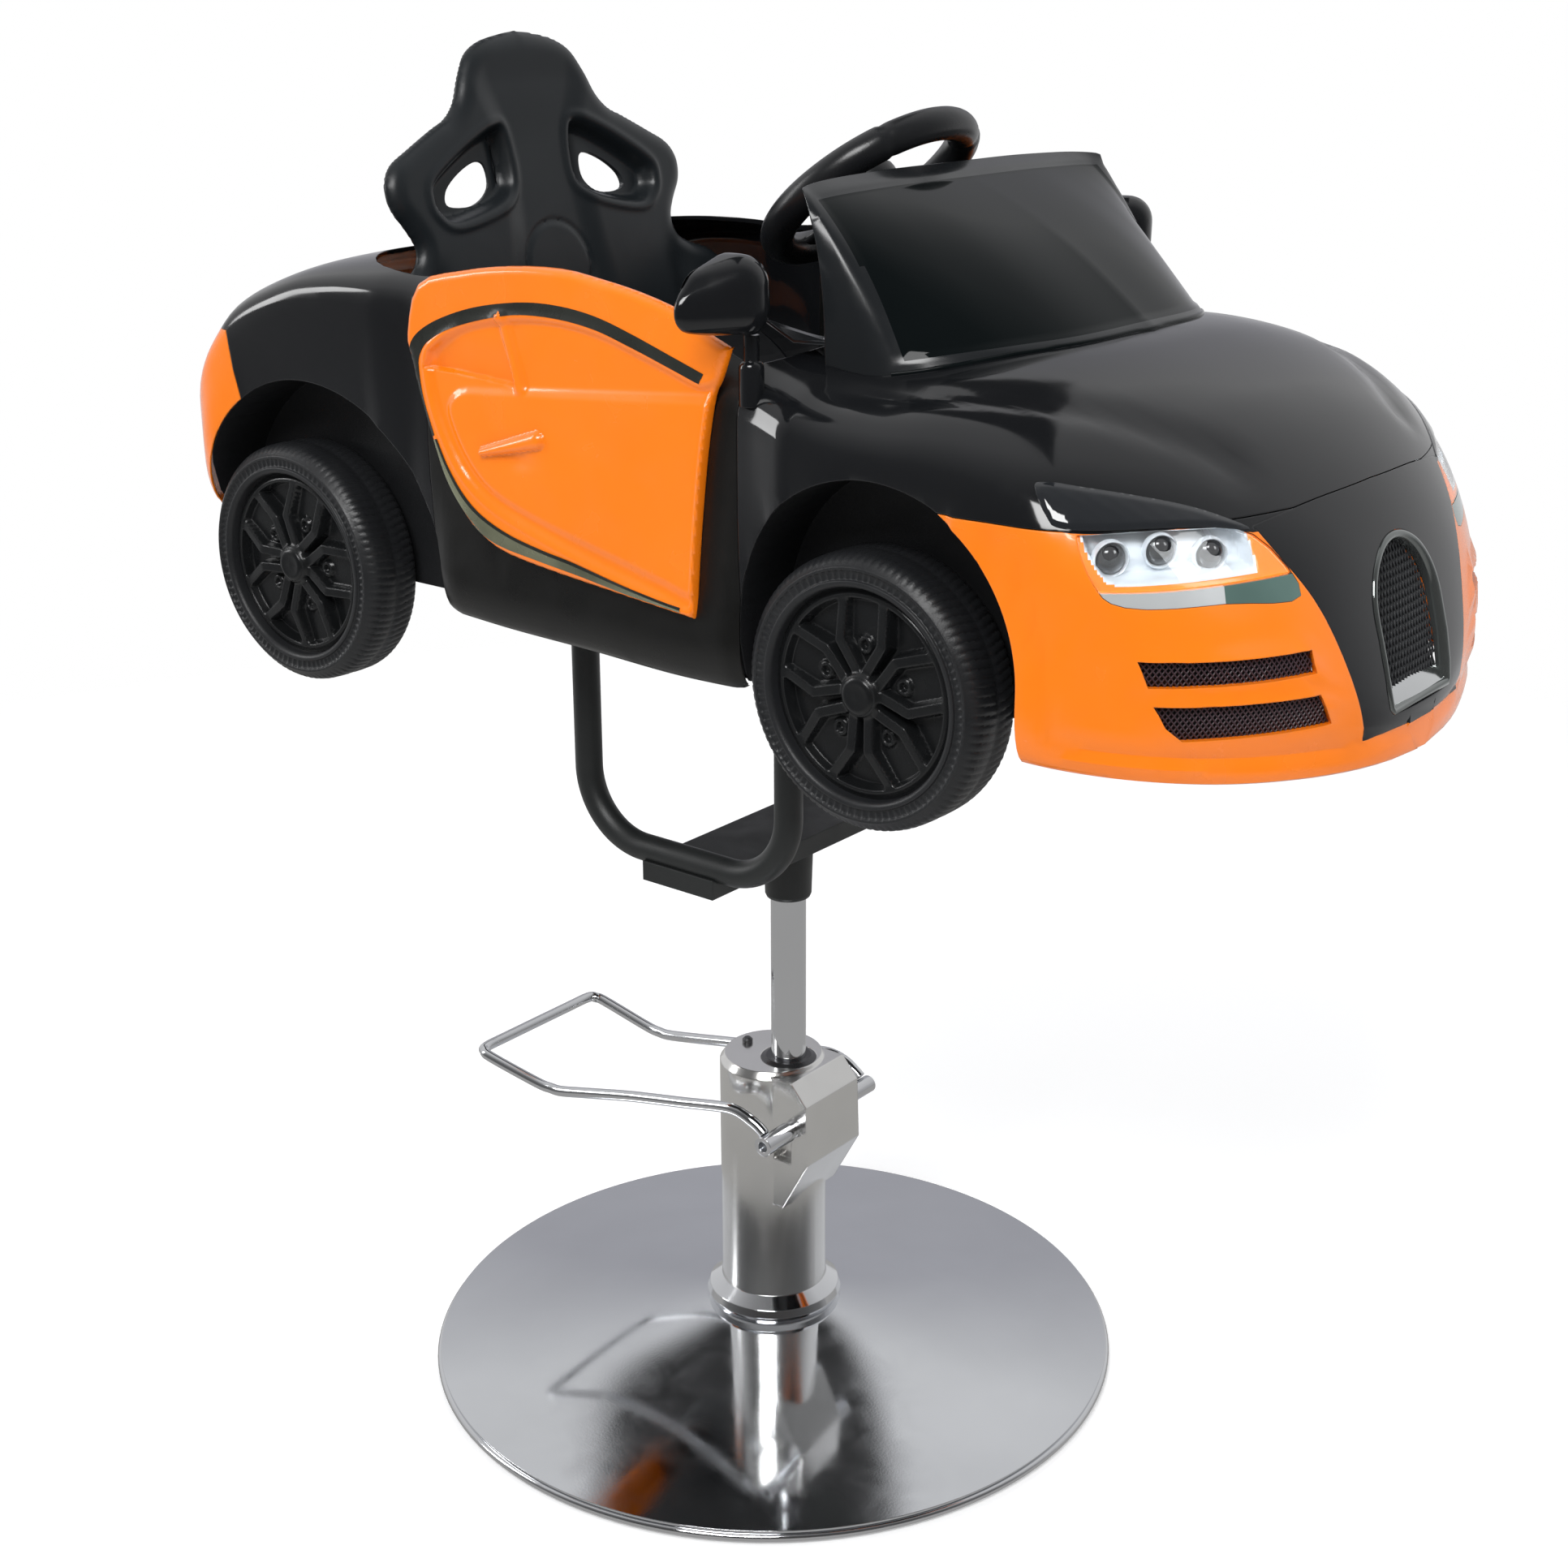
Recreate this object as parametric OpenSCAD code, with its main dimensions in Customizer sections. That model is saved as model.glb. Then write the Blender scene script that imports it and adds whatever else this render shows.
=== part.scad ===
/* [Base] */
// Diameter of the round floor base
base_d = 600; // [540:5:640]
// Height of the base skin at the column
base_h = 45; // [38:1:52]
// Thickness of the steel floor plate
plate_t = 5; // [4:0.5:7]
// Distance from the column axis back from the lift rod
axis_off = 17; // [15:0.5:19]
// Diameter of the pump column
column_d = 92; // [88:1:98]
// Height of the top of the pump column
column_h = 282; // [274:1:290]
// Diameter of the lift rod
rod_d = 29.7; // [27:0.1:31]

/* [Pedal] */
// Height of the pedal pivot
pivot_h = 236; // [230:1:240]
// Distance of the pedal pivot in front of the rod
pivot_x = 31; // [30:0.5:33]
// Length of the pedal loop from its pivot
pedal_l = 331; // [290:1:335]
// Width of the pedal loop
pedal_w = 158; // [150:1:170]
// Diameter of the pedal bar
pedal_d = 9.6; // [8:0.2:11]
// Diameter of the pedal shaft
shaft_d = 13; // [12:0.5:14]

/* [Support frame] */
// Height of the underside of the rod socket
socket_h = 431; // [424:1:438]
// Diameter of the frame tubes
tube_d = 22; // [20:0.5:25]
// Distance between the legs of one frame tube
leg_gap = 204; // [190:2:220]
// Distance between the two frame tubes
tube_gap = 256; // [240:2:270]
// Bend radius of the frame tubes
bend_r = 58; // [50:1:66]

/* [Car body] */
// Length that the body outline is drawn on
car_l = 1000; // [960:5:1040]
// Width of the body over the front fenders
car_w = 500; // [490:2:512]
// Height of the lower edge of the body
sill_h = 696; // [692:1:700]
// Height of the body outline above its lower edge
body_h = 250; // [242:1:258]
// Wall of the moulded body
wall_t = 3; // [2.4:0.2:3.6]
// Gap between neighbouring body panels
panel_gap = 0.5; // [0.3:0.1:0.8]
// Thickness of the door panels
door_t = 9; // [7:0.5:12]

/* [Seat] */
// Height of the seat back from its lower edge to its top
seat_h = 328; // [310:1:330]
// Thickness of the seat back
seat_t = 28; // [28:1:38]
// Lean of the seat back in degrees
seat_lean = 12; // [10:0.5:14]

/* [Wheels] */
// Width of a tyre
tyre_w = 55; // [50:1:58]
// Diameter of the axles
axle_d = 12; // [10:0.5:13]
// Number of spoke pairs in a wheel cover
spokes = 5; // [4:1:6]
// Number of tread ribs on a tyre
tread_n = 40; // [30:2:44]

/* [Controls] */
// Diameter of the steering wheel over its rim
steer_d = 181; // [170:1:190]
// Thickness of the steering wheel rim
rim_d = 25; // [20:1:27]
// Diameter of the horn button
horn_d = 34; // [28:1:38]
// Height of a mirror head
mirror_h = 55; // [50:1:58]

/* [Hidden] */
$fn = 64;
// Overrun of every cut
eps = 1;
// Clearance of running fits
fit = 0.05;
// Gap between seated pieces
seat_gap = 0.3;
base_r = base_d / 2;
column_r = column_d / 2;
rod_r = rod_d / 2;
// Rolled edge of the base skin
edge_r = 3.4;
skin_t = 2.5;
// Raised ring around the column foot
collar_w = 13.5;
collar_h = 22;
// Bore of the pump column that the piston runs in
bore_r = 20;
bore_z = 20;
bush_h = 22;
bush_w = 9;
cap_h = 6;
cap_chamfer = 4;
// Valve housing on the front of the column
box_w = 72;
box_x = 49;
box_x_top = 47;
box_lip_x = 31;
box_slope_h = 21;
box_low = 207;
box_foot = 158;
box_foot_x = 22;
window_w = 19;
window_h = 24;
window_x = 12;
window_d = 9;
window_low = 4;
sleeve_d = 17;
sleeve_w = 33;
pin_d = 15;
screw_d = 9;
bolt_d = 12;
bolt_h = 6;
bolt_circle = 62;
// Lift rod and piston
rod_top = 474;
rod_low = 190;
piston_h = 26;
piston_fit = 0.08;
piston_pin_r = 8;
piston_pin_h = 14;
socket_r = 19.5;
socket_flare = 1.5;
socket_round = 3.8;
// Cross bar and frame
bar_w = 72;
bar_t = 16;
bar_z = 481;
bar_over = 12;
leg_top = 690;
strap_w = 44;
strap_over = 33;
frame_bolt_d = 13;
frame_bolt_h = 5;
// Floor of the car
pan_t = 6;
pan_rise = 4;
pan_z = sill_h + pan_rise;
pan_half = car_w * 0.44;
beam_w = 36;
beam_h = 25;
rib_h = 10;
rib_t = 5;
// Wheels and axles
wheel_r = car_l * 0.0973;
axle_r = axle_d / 2;
axle_rise = 15.7;
axle_z = sill_h + axle_rise;
axle_front_x = car_l * 0.2455;
axle_rear_x = car_l * -0.319;
tyre_in = 12;
track_half = car_w / 2 - tyre_in;
hub_r = 16;
hub_in = 8;
rim_r = wheel_r * 0.76;
rim_lip = 4;
rim_deep = 3;
tread_h = 2.2;
shoulder = wheel_r * 0.103;
web_t = 12;
cover_t = 9;
spoke_half = 5;
spoke_tip = 3.5;
spoke_skew = 3;
spoke_split = 13;
lug_r = 2.2;
nut_r = 10;
nut_h = 6;
// Wheel arches as centre and radius
arch_front = [car_l * 0.262, sill_h + body_h * 0.188, car_l * 0.117];
arch_rear = [car_l * -0.284, sill_h + body_h * 0.104, car_l * 0.141];
well_t = 2.6;
well_room = 3;
well_in = track_half - tyre_w - well_room;
pan_narrow = well_in - pan_rise;
// Body outline in rows of place along the car, shoulder, crown, lower edge and fullness,
// as shares of the body length and height
body_shares = [
    [-0.465, 0.336, 0.416, 0.156, 3], [-0.450, 0.416, 0.544, 0.168, 3],
    [-0.430, 0.476, 0.688, 0.184, 3], [-0.410, 0.568, 0.788, 0.208, 3.2],
    [-0.390, 0.664, 0.852, 0.208, 3.5], [-0.365, 0.756, 0.924, 0.176, 4],
    [-0.324, 0.836, 0.992, 0.096, 4], [-0.285, 0.876, 1.032, 0.032, 4],
    [-0.220, 0.876, 1.064, 0.032, 4], [-0.160, 0.836, 1.080, 0.032, 4],
    [-0.080, 0.836, 1.104, 0.016, 4], [0, 0.828, 1.096, 0.008, 4],
    [0.080, 0.784, 1.048, -0.004, 3.4], [0.140, 0.720, 0.976, 0, 3],
    [0.200, 0.680, 0.936, 0.008, 2.6], [0.240, 0.656, 0.936, 0.004, 2.5],
    [0.291, 0.628, 0.948, 0, 2.5], [0.335, 0.596, 0.940, 0, 2.4],
    [0.371, 0.552, 0.912, 0, 2.4], [0.400, 0.504, 0.876, -0.004, 2.3],
    [0.430, 0.424, 0.824, -0.012, 2.2], [0.460, 0.340, 0.740, -0.024, 2.1],
    [0.490, 0.244, 0.612, -0.040, 2], [0.510, 0.168, 0.472, -0.052, 2],
    [0.525, 0.112, 0.296, -0.064, 2], [0.534, 0.064, 0.168, -0.072, 2],
    [0.540, 0.036, 0.048, -0.076, 2]];
// Half width along the car as shares of its length and half width
width_shares = [[-0.380, 0.968], [-0.200, 0.964], [-0.165, 0.952], [0.146, 0.952],
    [0.160, 0.962], [0.190, 0.996], [0.240, 1], [0.378, 1]];
station_shares = [-0.465, -0.450, -0.430, -0.410, -0.390, -0.365, -0.324, -0.285,
    -0.220, -0.160, -0.120, 0, 0.080, 0.120, 0.146, 0.190, 0.240, 0.291, 0.335, 0.371,
    0.400, 0.430, 0.460, 0.478, 0.494, 0.507, 0.518, 0.527, 0.534, 0.540];
nose_share = 0.1625;
tail_share = 0.084;
tuck_share = 0.056;
tuck_h_share = 0.14;
arc_n = 7;
// Lines where the body panels meet, as shares of body length, width and height
split_rear_share = -0.150;
split_front_share = 0.146;
cockpit_shares = [[-0.279, 0.62], [-0.288, 0.5], [-0.288, -0.5], [-0.279, -0.62],
    [-0.215, -0.852], [-0.10, -0.86], [0.10, -0.86], [0.150, -0.82], [0.172, -0.5],
    [0.172, 0.5], [0.150, 0.82], [0.10, 0.86], [-0.10, 0.86], [-0.215, 0.852]];
nose_outline_shares = [[0.292, 0.004], [0.308, 0.060], [0.380, 0.264], [0.436, 0.392],
    [0.500, 0.500], [0.536, 0.572], [0.520, 0.588], [0.280, 0.612], [0, 0.620]];
seam_share = 0.604;
// Headlamp, lamp pod and bumper vents, drawn on a plane turned to the nose corner
lamp_turn = 37.2;
lamp_shares = [[0.059, 0.584], [0.068, 0.600], [0.124, 0.600], [0.178, 0.568],
    [0.209, 0.412], [0.150, 0.424], [0.084, 0.432], [0.066, 0.488]];
vent_a_shares = [[0.092, 0.300], [0.213, 0.284], [0.2165, 0.224], [0.099, 0.232]];
vent_b_shares = [[0.103, 0.184], [0.220, 0.168], [0.231, 0.084], [0.122, 0.092],
    [0.111, 0.128]];
bulb_shares = [[0.0757, 0.536], [0.110, 0.556], [0.1466, 0.524]];
bulb_r = car_l * 0.014;
lens_t = 2;
lamp_depth = car_l * 0.014;
// Depth at which the reflectors end, measured on the corner plane
lamp_face = car_l * 0.47;
// Radiator opening in the nose
grille_half = car_w * 0.1;
grille_low = body_h * 0.048;
grille_top = body_h * 0.492;
grille_bar = 7;
grille_depth = 8;
mesh_t = 2;
mesh_pitch = grille_half * 0.42;
// Door outline as shares of body length and height
door_shares = [[-0.159, 0.868], [-0.145, 1.012], [-0.103, 1.060], [-0.055, 1.088],
    [-0.008, 1.096], [0.029, 1.080], [0.066, 1.056], [0.101, 1.020], [0.122, 0.976],
    [0.144, 0.940], [0.136, 0.856], [0.130, 0.812], [0.124, 0.700], [0.119, 0.564],
    [0.114, 0.384], [0.110, 0.200], [0.102, 0.192], [0.036, 0.216], [-0.035, 0.244],
    [-0.075, 0.272], [-0.099, 0.324], [-0.115, 0.388], [-0.127, 0.456],
    [-0.137, 0.556], [-0.148, 0.684], [-0.156, 0.800]];
panel_shares = [[-0.104, 0.700], [-0.108, 0.800], [-0.100, 0.860], [-0.060, 0.900],
    [0.000, 0.924], [0.050, 0.900], [0.090, 0.850], [0.118, 0.806], [0.112, 0.700],
    [0.106, 0.500], [0.101, 0.280], [0.020, 0.304], [-0.040, 0.344], [-0.076, 0.420],
    [-0.092, 0.520]];
panel_d = 1.6;
handle_l = car_l * 0.054;
handle_h = body_h * 0.052;
handle_out = 8;
handle_at_shares = [-0.052, 0.590];
door_round = 4;
// Windshield base and top in rows of place, base and top x, base and top height
glass_shares = [[-1, 0.205, 0.160, 0.868, 1.330], [-0.985, 0.240, 0.158, 0.876, 1.334],
    [-0.93, 0.264, 0.154, 0.886, 1.338], [-0.82, 0.284, 0.151, 0.904, 1.342],
    [-0.65, 0.300, 0.149, 0.920, 1.345], [-0.40, 0.314, 0.148, 0.932, 1.348],
    [0, 0.322, 0.148, 0.940, 1.348]];
glass_base_share = 0.76;
glass_top_share = 0.74;
// Part of its height that the screen runs on into the fender before it is cut to fit
glass_sink = 0.1;
glass_t = 4;
glass_bulge = 9;
glass_rows = 4;
// Dashboard
dash_x = car_l * 0.174;
dash_t = 5;
// Steering
steer_tilt = 52;
steer_x = car_l * 0.078;
steer_z = sill_h + body_h * 1.264;
hub_d = 46;
hub_h = 20;
spoke_w = 22;
spoke_t = 8;
shaft_r = 7;
shaft_l = car_l * 0.118;
shroud_r = 17;
shroud_l = car_l * 0.1;
shroud_off = car_l * 0.056;
horn_h = 9;
horn_in = 3.4;
// Seat back half outline as shares of half its width and of its height
seat_shares = [[0, 1], [0.27, 0.993], [0.38, 0.968], [0.42, 0.930], [0.46, 0.870],
    [0.52, 0.822], [0.63, 0.790], [0.83, 0.740], [0.95, 0.704], [1, 0.654],
    [0.985, 0.600], [0.91, 0.545], [0.90, 0.490], [0.99, 0.450], [1.13, 0.420],
    [1.22, 0.380], [1.22, 0.320], [1.08, 0.255], [0.93, 0.175], [0.88, 0]];
seat_hole_shares = [[0.24, 0.765], [0.31, 0.785], [0.43, 0.755], [0.66, 0.665],
    [0.70, 0.610], [0.63, 0.570], [0.37, 0.568], [0.26, 0.610]];
seat_hole_small = 0.62;
seat_w = car_w * 0.672;
seat_low = sill_h + body_h * 0.396;
seat_x = car_l * -0.204;
seat_round = 12;
disc_r = 36;
disc_at = 0.425;
disc_d = 1.5;
// Seat pan side outline as shares of its length and height
pan_shares = [[0, 1], [0.18, 0.90], [0.55, 0.80], [0.80, 0.86], [0.93, 0.84],
    [1, 0.70], [1, 0]];
cushion_l = car_l * 0.19;
cushion_h = body_h * 0.432;
cushion_room = 30;
cushion_w = 2 * (well_in - cushion_room);
// Mirrors
mirror_x = car_l * 0.154;
mirror_y = car_w * 0.464;
stalk_low = sill_h + body_h * 0.79;
stalk_top = sill_h + body_h * 0.976;
// Thin neck of a stalk above the collar that stands on the fender
stalk_neck = 17;
stalk_r = 5.4;
stalk_ring = 8.6;
mirror_w = 82;
mirror_pin_r = 3.5;
mirror_pin_h = 12;
// Places of a mirror head's rear face and front bulge from its pin, and the depth of its frame
mirror_back = 16;
mirror_front = 4;
mirror_frame = 5;

// Smooth curve through the rows of a table
function row_at(x, t, i = 0) = (i >= len(t) - 2 || x < t[i + 1][0]) ? i : row_at(x, t, i + 1);
function slope(t, i, k) = let (a = max(i - 1, 0), b = min(i + 1, len(t) - 1))
    (t[b][k] - t[a][k]) / (t[b][0] - t[a][0]);
function curve(x, t, k) = let (i = row_at(x, t), h = t[i + 1][0] - t[i][0],
    u = (x - t[i][0]) / h, m = slope(t, i, k) * h, n = slope(t, i + 1, k) * h)
    (2 * pow(u, 3) - 3 * pow(u, 2) + 1) * t[i][k] + (pow(u, 3) - 2 * pow(u, 2) + u) * m
    + (3 * pow(u, 2) - 2 * pow(u, 3)) * t[i + 1][k] + (pow(u, 3) - pow(u, 2)) * n;

// Half width of the body at a place along it
function half_w(s) = car_w / 2 * (
    s > width_shares[7][0]
        ? sqrt(max(0, 1 - pow((s - width_shares[7][0]) / nose_share, 2)))
    : s < width_shares[0][0]
        ? width_shares[0][1] * pow(max(0, 1 - pow((width_shares[0][0] - s) / tail_share, 3)), 1 / 3)
    : lookup(s, width_shares));

// One closed section ring of the body, shrunk by d on every side but the lower one
function body_ring(s, d) = let (w = half_w(s) - d, zl = sill_h + body_h * curve(s, body_shares, 3),
    z0 = zl - (d > 0 ? body_h / 4 : 0), zs = sill_h + body_h * curve(s, body_shares, 1) - d,
    zt = sill_h + body_h * curve(s, body_shares, 2) - d, n = curve(s, body_shares, 4),
    tw = tuck_share * car_w / 2, th = min(tuck_h_share * body_h, (zs - zl) * 0.8),
    half = concat([[(w - tw) * (d > 0 ? 1 : 0.5), z0], [w - tw, zl], [w - tw * 0.42, zl + th * 0.34],
        [w, zl + th], [w, (zl + th + zs) / 2]],
        [for (i = [0:arc_n]) [w * pow(cos(90 * i / arc_n), 2 / n),
            zs + (zt - zs) * pow(sin(90 * i / arc_n), 2 / n)]]),
    x = s * (car_l - 2 * d))
    concat([for (p = half) [x, -max(p[0], eps / 9), p[1]]],
        [for (i = [len(half) - 1:-1:0]) [x, max(half[i][0], eps / 9), half[i][1]]]);

module loft(rings) {
    n = len(rings[0]);
    m = len(rings);
    polyhedron([for (r = rings) for (p = r) p], concat(
        [[for (j = [n - 1:-1:0]) j]],
        [for (i = [0:m - 2]) for (j = [0:n - 1]) each [
            [i * n + j, (i + 1) * n + (j + 1) % n, (i + 1) * n + j],
            [i * n + j, i * n + (j + 1) % n, (i + 1) * n + (j + 1) % n]]],
        [[for (j = [0:n - 1]) (m - 1) * n + j]]));
}

module body_solid(d) loft([for (s = station_shares) body_ring(s, d)]);

module body_shell() difference() {
    body_solid(0);
    body_solid(wall_t);
}

// Outline drawn in shares of body length and height, pushed along the width
module side_prism(shares, y0, y1) translate([0, y1, sill_h]) rotate([90, 0, 0])
    linear_extrude(y1 - y0) polygon([for (p = shares) [p[0] * car_l, p[1] * body_h]]);

// Outline on the plane that faces the nose corner, from depth a to depth b
module corner_prism(shares, a, b, grow = 0) translate([0, 0, sill_h]) rotate([0, 0, 90 - lamp_turn])
    rotate([90, 0, 0]) translate([0, 0, a]) linear_extrude(b - a) offset(delta = grow)
    polygon([for (p = shares) [p[0] * car_l, p[1] * body_h]]);

// Distance of the corner plane from the rod
corner_far = car_l;
corner_near = car_l * 0.36;

module nose_prism(grow, x0 = 0) translate([x0, 0, sill_h]) rotate([90, 0, 90])
    linear_extrude(car_l) offset(delta = grow)
    polygon(concat([for (p = nose_outline_shares) [p[0] * car_w / 2, p[1] * body_h]],
        [for (i = [len(nose_outline_shares) - 2:-1:0])
            [-nose_outline_shares[i][0] * car_w / 2, nose_outline_shares[i][1] * body_h]]));

// Round arch that runs straight down below its centre
module arch_shape(a, grow) {
    circle(r = a[2] + grow, $fn = 56);
    translate([-a[2] - grow, -a[1]]) square([2 * (a[2] + grow), a[1]]);
}
module arches(grow = 0) for (a = [arch_front, arch_rear]) translate([a[0], car_w, a[1]])
    rotate([90, 0, 0]) linear_extrude(2 * car_w) arch_shape(a, grow);

module cockpit_cut() translate([0, 0, sill_h - body_h]) linear_extrude(3 * body_h)
    polygon([for (p = cockpit_shares) [p[0] * car_l, p[1] * car_w / 2]]);

// Slab of space between two places along the car
module span(s0, s1) translate([s0 * car_l, -car_w, 0])
    cube([(s1 - s0) * car_l, 2 * car_w, sill_h + 2 * body_h]);

module base_plate() color("dimgray") translate([-axis_off, 0, 0]) difference() {
    cylinder(r = base_r - edge_r - skin_t, h = plate_t, $fn = 128);
    for (a = [45:90:315]) rotate(a) translate([bolt_circle, 0, -eps])
        cylinder(d = bolt_d / 2, h = plate_t + 2 * eps);
}

// Chromed skin, a straight shallow cone under the collar, down to its rolled edge
module base_cover() color("silver") translate([-axis_off, 0, 0]) rotate_extrude($fn = 128)
    polygon([[base_r - edge_r, plate_t + edge_r], [base_r - edge_r, plate_t + edge_r + skin_t],
        [column_r + collar_w, base_h], [column_r + fit, base_h], [column_r + fit, base_h - skin_t],
        [column_r + collar_w, base_h - skin_t]]);

module base_edge_ring() color("silver") translate([-axis_off, 0, 0]) rotate_extrude($fn = 128)
    translate([base_r - edge_r, plate_t]) {
        intersection() {
            circle(r = edge_r, $fn = 32);
            translate([0, -edge_r]) square([2 * edge_r, 2 * edge_r]);
        }
        translate([-skin_t, -edge_r]) square([skin_t, 2 * edge_r]);
    }

module base_collar() color("silver") translate([-axis_off, 0, base_h]) rotate_extrude($fn = 96)
    polygon([[column_r + fit, 0], [column_r + collar_w * 0.75, 0], [column_r + collar_w, collar_h * 0.32],
        [column_r + collar_w * 0.82, collar_h * 0.6], [column_r + fit, collar_h]]);

module pump_housing() color("silver") difference() {
    union() {
        translate([-axis_off, 0, plate_t]) cylinder(r = column_r, h = column_h - plate_t - cap_h);
        translate([-axis_off, 0, column_h - cap_h])
            cylinder(r1 = column_r, r2 = column_r - cap_chamfer, h = cap_h);
        translate([0, box_w / 2, 0]) rotate([90, 0, 0]) linear_extrude(box_w) polygon([
            [0, column_h - cap_h / 2], [box_lip_x, column_h - cap_h / 2],
            [box_x_top, column_h - box_slope_h], [box_x, box_low], [box_foot_x, box_foot], [0, box_foot]]);
    }
    translate([0, 0, bore_z]) cylinder(r = bore_r, h = column_h);
    translate([pivot_x, box_w, pivot_h]) rotate([90, 0, 0])
        cylinder(r = shaft_d / 2 + fit, h = 2 * box_w);
    translate([0, 0, column_h - bush_h]) cylinder(r = rod_r + bush_w, h = column_h);
    translate([window_x, -box_w / 2 - eps, box_low - window_low])
        cube([window_w, window_d + eps, window_h]);
}

module rod_bushing() color("gray") translate([0, 0, column_h - bush_h]) rotate_extrude()
    polygon([[rod_r + fit, 0], [rod_r + bush_w, 0], [rod_r + bush_w, bush_h],
        [rod_r + bush_w / 2, bush_h + fit + 2 * eps], [rod_r + fit, bush_h + fit + 2 * eps]]);

module filler_screw() color("dimgray") translate([-axis_off - column_r * 0.62, 0, column_h]) union() {
    cylinder(d = screw_d, h = screw_d / 3);
    translate([0, 0, screw_d / 3]) cylinder(d1 = screw_d, d2 = screw_d * 0.6, h = screw_d / 5);
}

module base_bolts() color("dimgray") for (a = [45:90:315]) translate([-axis_off, 0, plate_t])
    rotate(a) translate([bolt_circle, 0, 0]) cylinder(d = bolt_d, h = bolt_h, $fn = 6);

// Shaft with a sleeve welded on each end
module pedal_shaft() color("silver") translate([pivot_x, pedal_w / 2 - pedal_d / 2, pivot_h])
    rotate([90, 0, 0]) difference() {
        union() {
            cylinder(d = shaft_d, h = pedal_w - pedal_d);
            translate([0, 0, pedal_w - pedal_d - sleeve_w]) cylinder(d = sleeve_d, h = sleeve_w);
            cylinder(d = pin_d, h = sleeve_w * 0.8);
        }
        translate([0, 0, pedal_w - pedal_d - sleeve_w / 3]) cylinder(d = shaft_d * 0.7, h = sleeve_w);
    }

// Bar bent into the foot loop, as shares of its length and half width
loop_shares = [[0.012, 0.90, 0.024], [0.032, 0.90, 0.038], [0.060, 0.91, 0.052],
    [0.100, 0.91, 0.062], [0.150, 0.91, 0.058],
    [0.283, 0.91, 0.028], [0.458, 0.92, -0.009], [0.600, 0.95, -0.042], [0.715, 0.98, -0.066],
    [0.780, 1.00, -0.066], [0.880, 1.02, -0.050], [0.955, 1.03, -0.036], [0.985, 1.00, -0.030],
    [1, 0.92, -0.027], [1, 0.50, -0.026]];
function loop_path() = let (h = [for (p = loop_shares)
    [pivot_x - p[0] * pedal_l, -p[1] * (pedal_w - pedal_d) / 2, pivot_h + p[2] * pedal_l]])
    concat(h, [for (i = [len(h) - 1:-1:0]) [h[i][0], -h[i][1], h[i][2]]]);
function unit(v) = v / norm(v);
module sweep(path, r, n) {
    m = len(path);
    loft([for (i = [0:m - 1]) let (t = unit(path[min(i + 1, m - 1)] - path[max(i - 1, 0)]),
        u = unit(cross(t, [0, 0, 1])), v = cross(t, u))
        [for (j = [0:n - 1]) path[i] + r * (cos(360 * j / n) * u - sin(360 * j / n) * v)]]);
}
module pedal_loop() color("silver") resize([0, 0, 0]) difference() {
    sweep(loop_path(), pedal_d / 2, 10);
    translate([pivot_x, pedal_w, pivot_h]) rotate([90, 0, 0])
        cylinder(d = sleeve_d + 2 * fit, h = 2 * pedal_w, $fn = 48);
}

module piston_head() color("gray") translate([0, 0, rod_low - piston_h]) union() {
    cylinder(r = bore_r - piston_fit, h = piston_h);
    translate([0, 0, piston_h]) cylinder(r = piston_pin_r, h = piston_pin_h);
}

module piston_rod() color("silver") difference() {
    translate([0, 0, rod_low + seat_gap]) cylinder(r = rod_r, h = rod_top - rod_low - seat_gap);
    translate([0, 0, rod_low - eps]) cylinder(r = piston_pin_r + fit, h = piston_pin_h + 2 * eps);
}

module rod_socket() color("black") rotate_extrude() polygon([[rod_r, socket_h],
    [socket_r - socket_round, socket_h], [socket_r - socket_round * 0.3, socket_h + socket_round * 0.3],
    [socket_r, socket_h + socket_round], [socket_r + socket_flare, bar_z], [0, bar_z], [0, rod_top],
    [rod_r, rod_top]]);

module cross_bar() color("black") difference() {
    translate([-bar_w / 2, -tube_gap / 2 - bar_over, bar_z])
        cube([bar_w, tube_gap + 2 * bar_over, bar_t]);
    for (y = [-1, 1]) translate([-bar_w, y * tube_gap / 2, bar_z + bar_t * 0.7 + tube_d / 2])
        rotate([0, 90, 0]) cylinder(r = tube_d / 2 + fit, h = 2 * bar_w);
}
tube_z = bar_z + bar_t * 0.7 + tube_d / 2;

module frame_tube(y) translate([0, y, 0]) union() {
    for (x = [-1, 1]) {
        translate([x * leg_gap / 2, 0, tube_z + bend_r])
            cylinder(d = tube_d, h = leg_top - tube_z - bend_r);
        translate([x * (leg_gap / 2 - bend_r), 0, tube_z + bend_r]) rotate([90, 0, 0])
            rotate([0, 0, x > 0 ? 270 : 180]) rotate_extrude(angle = 90) translate([bend_r, 0])
            circle(d = tube_d);
    }
    translate([-leg_gap / 2 + bend_r, 0, tube_z]) rotate([0, 90, 0])
        cylinder(d = tube_d, h = leg_gap - 2 * bend_r);
}
module frame_tube_right() color("black") frame_tube(-tube_gap / 2);
module frame_tube_left() color("black") frame_tube(tube_gap / 2);

strap_l = leg_gap + 2 * strap_over;
module frame_strap(y) difference() {
    translate([-strap_l / 2, y - strap_w / 2, leg_top]) cube([strap_l, strap_w, pan_z - leg_top]);
    for (x = [-1, 1]) translate([x * (strap_l / 2 - frame_bolt_d), y, leg_top - eps])
        cylinder(d = frame_bolt_d / 2, h = pan_z);
}
module frame_straps() color("black") for (y = [-1, 1]) frame_strap(y * tube_gap / 2);

module frame_bolts() color("dimgray") for (y = [-1, 1]) for (x = [-1, 1])
    translate([x * (strap_l / 2 - frame_bolt_d), y * tube_gap / 2, leg_top - frame_bolt_h])
    cylinder(d = frame_bolt_d, h = frame_bolt_h, $fn = 6);

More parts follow.
